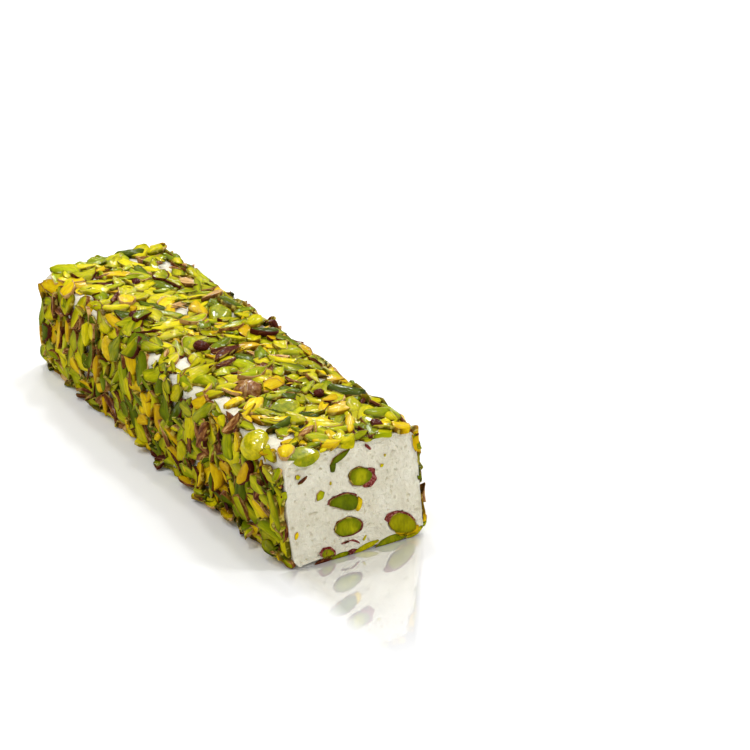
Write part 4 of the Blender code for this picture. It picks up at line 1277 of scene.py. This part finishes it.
def flesh_of(finish, kind, place, rim, tone, patches, streaks):
    """The flesh: by its tone, yellower in its middle, and deeper or browned at its rim, with a painted pale highlight
    on parts of its rim and painted shade on its underside.
    """
    share = finish.sum("MULTIPLY_ADD", tone, 0.55)
    share.node.inputs[2].default_value = -0.10
    share = finish.sum("ADD", share, finish.spread(patches, 0.3, 0.7, 0.0, 0.30))
    share = finish.sum("ADD", share, finish.spread(rim, 0.0, 0.9, 0.40, 0.0), True)
    flesh = finish.ramp(share, COLOURS[kind])
    if kind in ("lime", "green"):
        middle = finish.spread(rim, 0.1, 0.7, 0.5, 0.0)
        yellowed = finish.sum("MULTIPLY", middle, finish.spread(patches, 0.42, 0.62))
        flesh = finish.mix(yellowed, flesh, linear(YELLOWED))
    flesh = finish.mix(finish.spread(streaks, 0.38, 0.68, 0.0, 0.42), flesh, linear(COLOURS[kind][0]))
    edge = finish.spread(rim, 0.62, 0.95, 0.0, 0.75)
    edge = finish.sum("MULTIPLY", edge, finish.spread(patches, 0.35, 0.6, 0.35, 1.0))
    browned = finish.spread(finish.noise(place, *BROWNED), 0.44, 0.56)
    dark = finish.mix(browned, linear([0.5 * part for part in COLOURS[kind][0]]), linear(EDGE_BROWN))
    flesh = finish.mix(edge, flesh, dark)
    # painted shade on the underside and lower wall of each sliver, where its rim is over 1
    flesh = finish.mix(finish.spread(rim, 1.02, 1.2, 0.0, 0.5), flesh, linear(PAINTED_UNDERSIDE_SHADE))
    # painted highlight: a pale glint on patches of the rim
    edge = finish.spread(rim, 0.70, 0.95)
    painted_highlight = finish.sum("MULTIPLY", edge, finish.spread(finish.noise(place, *RIM_HIGHLIGHT_PATCHES), 0.52, 0.62, 0.0, 0.7))
    return finish.mix(painted_highlight, flesh, linear(PAINTED_RIM_HIGHLIGHT))


def pistachio_finish(kind, wetness):
    """Pistachio of one kind: its flesh, skin where the look says so, and a wet coat on what faces up."""
    finish = Finish(f"pistachio_{kind}_{round(wetness.least * 100)}")
    place = finish.node("ShaderNodeTexCoord").outputs["Object"]
    grain = finish.attribute("grain", "Vector")
    rim, skin, tone = (finish.attribute(name) for name in ("rim", "skin", "tone"))
    patches = finish.noise(grain, *PATCHES)
    streaks = finish.noise(grain, *STREAKS)
    flesh = flesh_of(finish, kind, place, rim, tone, patches, streaks)
    wrinkles = finish.noise(grain, *WRINKLES)
    folds = finish.sum("ADD", wrinkles, finish.spread(tone, 0, 1, -0.30, 0.16))
    skins = finish.ramp(finish.spread(folds, *wetness.folds), SKIN_COLOURS)
    if kind in wetness.ruddy:
        ruddy = finish.ramp(finish.spread(finish.noise(place, *RUDDY), 0.36, 0.66), RUDDY_COLOURS)
        skins = finish.mix(finish.spread(tone, -0.3, -0.1, 1.0, 0.0), skins, ruddy)
    torn = finish.spread(finish.sum("ADD", skin, finish.spread(patches, 0.3, 0.7, -0.4, 0.4)), 0.44, 0.56)
    colour = finish.mix(torn, flesh, skins)
    facing = finish.node("ShaderNodeSeparateXYZ")
    finish.put(finish.node("ShaderNodeNewGeometry").outputs["Normal"], facing.inputs[0])
    syrup = finish.spread(finish.noise(place, *SYRUP), 0.44, 0.60, wetness.least, wetness.most)
    wet = finish.sum("MULTIPLY", finish.spread(facing.outputs[2], 0.15, 0.55, 0.12, 1.0), syrup)
    fine = finish.noise(place, *FINE)
    drops = finish.noise(place, *DROPS)
    dry = finish.spread(fine, 0.3, 0.7, 0.44, 0.62)
    normal = finish.bump(streaks, 0.00016, 0.8)
    normal = finish.bump(fine, 0.00010, 0.8, normal)
    finish.sets(
        Base_Color=colour,
        Roughness=dry,
        Normal=normal,
        Specular_IOR_Level=0.02,
        Coat_Weight=wet,
        Coat_Roughness=wetness.rough,
        Coat_IOR=wetness.index,
        Coat_Normal=finish.bump(drops, wetness.bump),
        Subsurface_Weight=0.20,
        Subsurface_Radius=(0.0012, 0.0010, 0.0002),
        Subsurface_Scale=1.0,
    )
    return finish.material


def nougat_finish():
    """Whipped nougat: cream white, matt, full of fine bubbles."""
    finish = Finish("nougat")
    place = finish.node("ShaderNodeTexCoord").outputs["Object"]
    soft = finish.noise(place, *SOFT)
    coarse = finish.noise(place, *COARSE)
    fine = finish.noise(place, *GRAINY)
    bubbles = finish.node("ShaderNodeTexVoronoi")
    finish.put(place, bubbles.inputs["Vector"])
    bubbles.inputs["Scale"].default_value = BUBBLES
    pores = finish.spread(bubbles.outputs["Distance"], 0.0, 0.30)
    colour = finish.ramp(finish.spread(soft, 0.2, 0.75), NOUGAT_COLOURS)
    colour = finish.mix(finish.spread(fine, 0.28, 0.5, 0.14, 0.0), colour, linear(NOUGAT_SPECKS))
    normal = finish.bump(coarse, 0.00090, 1.0)
    normal = finish.bump(pores, 0.00015, 0.7, normal)
    normal = finish.bump(fine, 0.00020, 1.0, normal)
    finish.sets(
        Base_Color=colour,
        Specular_IOR_Level=0.25,
        Roughness=0.60,
        Normal=normal,
        Subsurface_Weight=0.22,
        Subsurface_Radius=(0.0016, 0.0013, 0.0009),
        Subsurface_Scale=1.0,
    )
    return finish.material


# The studio


def floor():
    """A plain white floor that mirrors a little in front of the cut, as in the photo."""
    corners = np.array([(-1.0, -1.0, 0.0), (1.0, -1.0, 0.0), (1.0, 1.0, 0.0), (-1.0, 1.0, 0.0)]) * FLOOR_SIDE / 2
    obj = object_from("floor", corners, np.array([(0, 1, 2), (0, 2, 3)]))
    finish = Finish("floor")
    place = finish.node("ShaderNodeSeparateXYZ")
    finish.put(finish.node("ShaderNodeTexCoord").outputs["Object"], place.inputs[0])
    near = finish.spread(place.outputs[1], *MIRROR_REACH)
    near = finish.sum("MULTIPLY", near, finish.spread(place.outputs[1], *MIRROR_END, 1.0, 0.0))
    near = finish.sum("MULTIPLY", near, finish.spread(place.outputs[0], *MIRROR_LEFT))
    past = finish.sum("MULTIPLY_ADD", place.outputs[1], MIRROR_SLANT)
    finish.put(place.outputs[0], past.node.inputs[2])
    near = finish.sum("MULTIPLY", near, finish.spread(past, *MIRROR_SIDE, 1.0, 0.0))
    finish.sets(Base_Color=linear(FLOOR_WHITE), Roughness=0.9, Specular_IOR_Level=0.0)
    mirror = finish.node("ShaderNodeBsdfGlossy")
    mirror.inputs["Roughness"].default_value = MIRROR_ROUGH
    mirror.inputs["Color"].default_value = (1, 1, 1, 1)
    both = finish.node("ShaderNodeMixShader")
    finish.put(finish.sum("MULTIPLY", near, MIRROR), both.inputs[0])
    finish.put(finish.shader.outputs[0], both.inputs[1])
    finish.put(mirror.outputs[0], both.inputs[2])
    finish.put(both.outputs[0], finish.tree.nodes["Material Output"].inputs["Surface"])
    obj.data.materials.append(finish.material)


def camera():
    """The camera that took the photo."""
    eye = np.array(CAMERA_AIM) + CAMERA_ACROSS * CAMERA_RIGHT + CAMERA_UP * CAMERA_TOP
    eye = eye + CAMERA_DISTANCE * CAMERA_BACK
    data = bpy.data.cameras.new("camera")
    data.lens = CAMERA_LENS
    data.sensor_width = CAMERA_SENSOR
    data.clip_start, data.clip_end = CAMERA_SEES
    obj = bpy.data.objects.new("camera", data)
    obj.matrix_world = Matrix((CAMERA_RIGHT, CAMERA_TOP, CAMERA_BACK)).transposed().to_4x4()
    obj.location = eye
    bpy.context.scene.collection.objects.link(obj)
    bpy.context.scene.camera = obj


def lights():
    """Soft studio light, mostly from above and from the right."""
    world = bpy.data.worlds.new("studio")
    world.use_nodes = True
    nodes = Nodes(world.node_tree)
    way = nodes.node("ShaderNodeSeparateXYZ")
    nodes.put(nodes.node("ShaderNodeTexCoord").outputs["Generated"], way.inputs[0])
    glow = nodes.spread(way.outputs[2], 0.0, 1.0, *WORLD_GLOW)
    back = nodes.spread(way.outputs[1], *DIM_BACK)
    below = nodes.spread(way.outputs[2], *DIM_BELOW)
    dim = nodes.sum("MAXIMUM", back, below)
    background = world.node_tree.nodes["Background"]
    nodes.put(nodes.sum("MULTIPLY", dim, glow), background.inputs["Strength"])
    background.inputs["Color"].default_value = (1.0, 1.0, 1.0, 1.0)
    bpy.context.scene.world = world
    for number, (place, size, power) in enumerate(LAMPS):
        data = bpy.data.lights.new(f"lamp_{number}", "AREA")
        data.shape = "SQUARE"
        data.size = size
        data.energy = power
        obj = bpy.data.objects.new(f"lamp_{number}", data)
        obj.location = place
        obj.rotation_euler = (Vector(LAMPS_AIM) - Vector(place)).to_track_quat("-Z", "Y").to_euler()
        bpy.context.scene.collection.objects.link(obj)


def finished(obj, material, slot):
    """Gives a piece its material and its body; the slot is not used."""
    obj.data.materials.append(material)
    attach(obj, "root")


def main():
    camera()
    lights()
    floor()
    bpy.context.scene.view_settings.view_transform = "Standard"

    rng = np.random.default_rng(SEED)
    slivers = lay_coat(rng, np.random.default_rng(SEED + 1))

    finishes = {kind: pistachio_finish(kind, SLIVERS_WET) for kind in KINDS}
    glossy = {kernel.kind: pistachio_finish(kernel.kind, KERNELS_WET) for kernel in COAT_KERNELS}
    body = nougat()
    finished(body, nougat_finish(), "nougat")
    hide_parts("nougat_roll")
    for kind in KINDS:
        of_kind = [sliver for sliver in slivers if sliver.kind == kind]
        extras = [*bits_in_cuts(kind), *(beads(rng) if kind == "skin" else ())]
        finished(joined_slivers(f"slivers_{kind}", of_kind, extras, rng), finishes[kind], SLOTS[kind])
    for name, kernel in KERNELS.items():
        piece = whole_kernel(name, kernel, rng) if "coat" in name else cut_kernel(name)
        finished(piece, glossy[kernel.kind] if "coat" in name else finishes[kernel.kind], SLOTS[kernel.kind])
        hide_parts(name)


main()
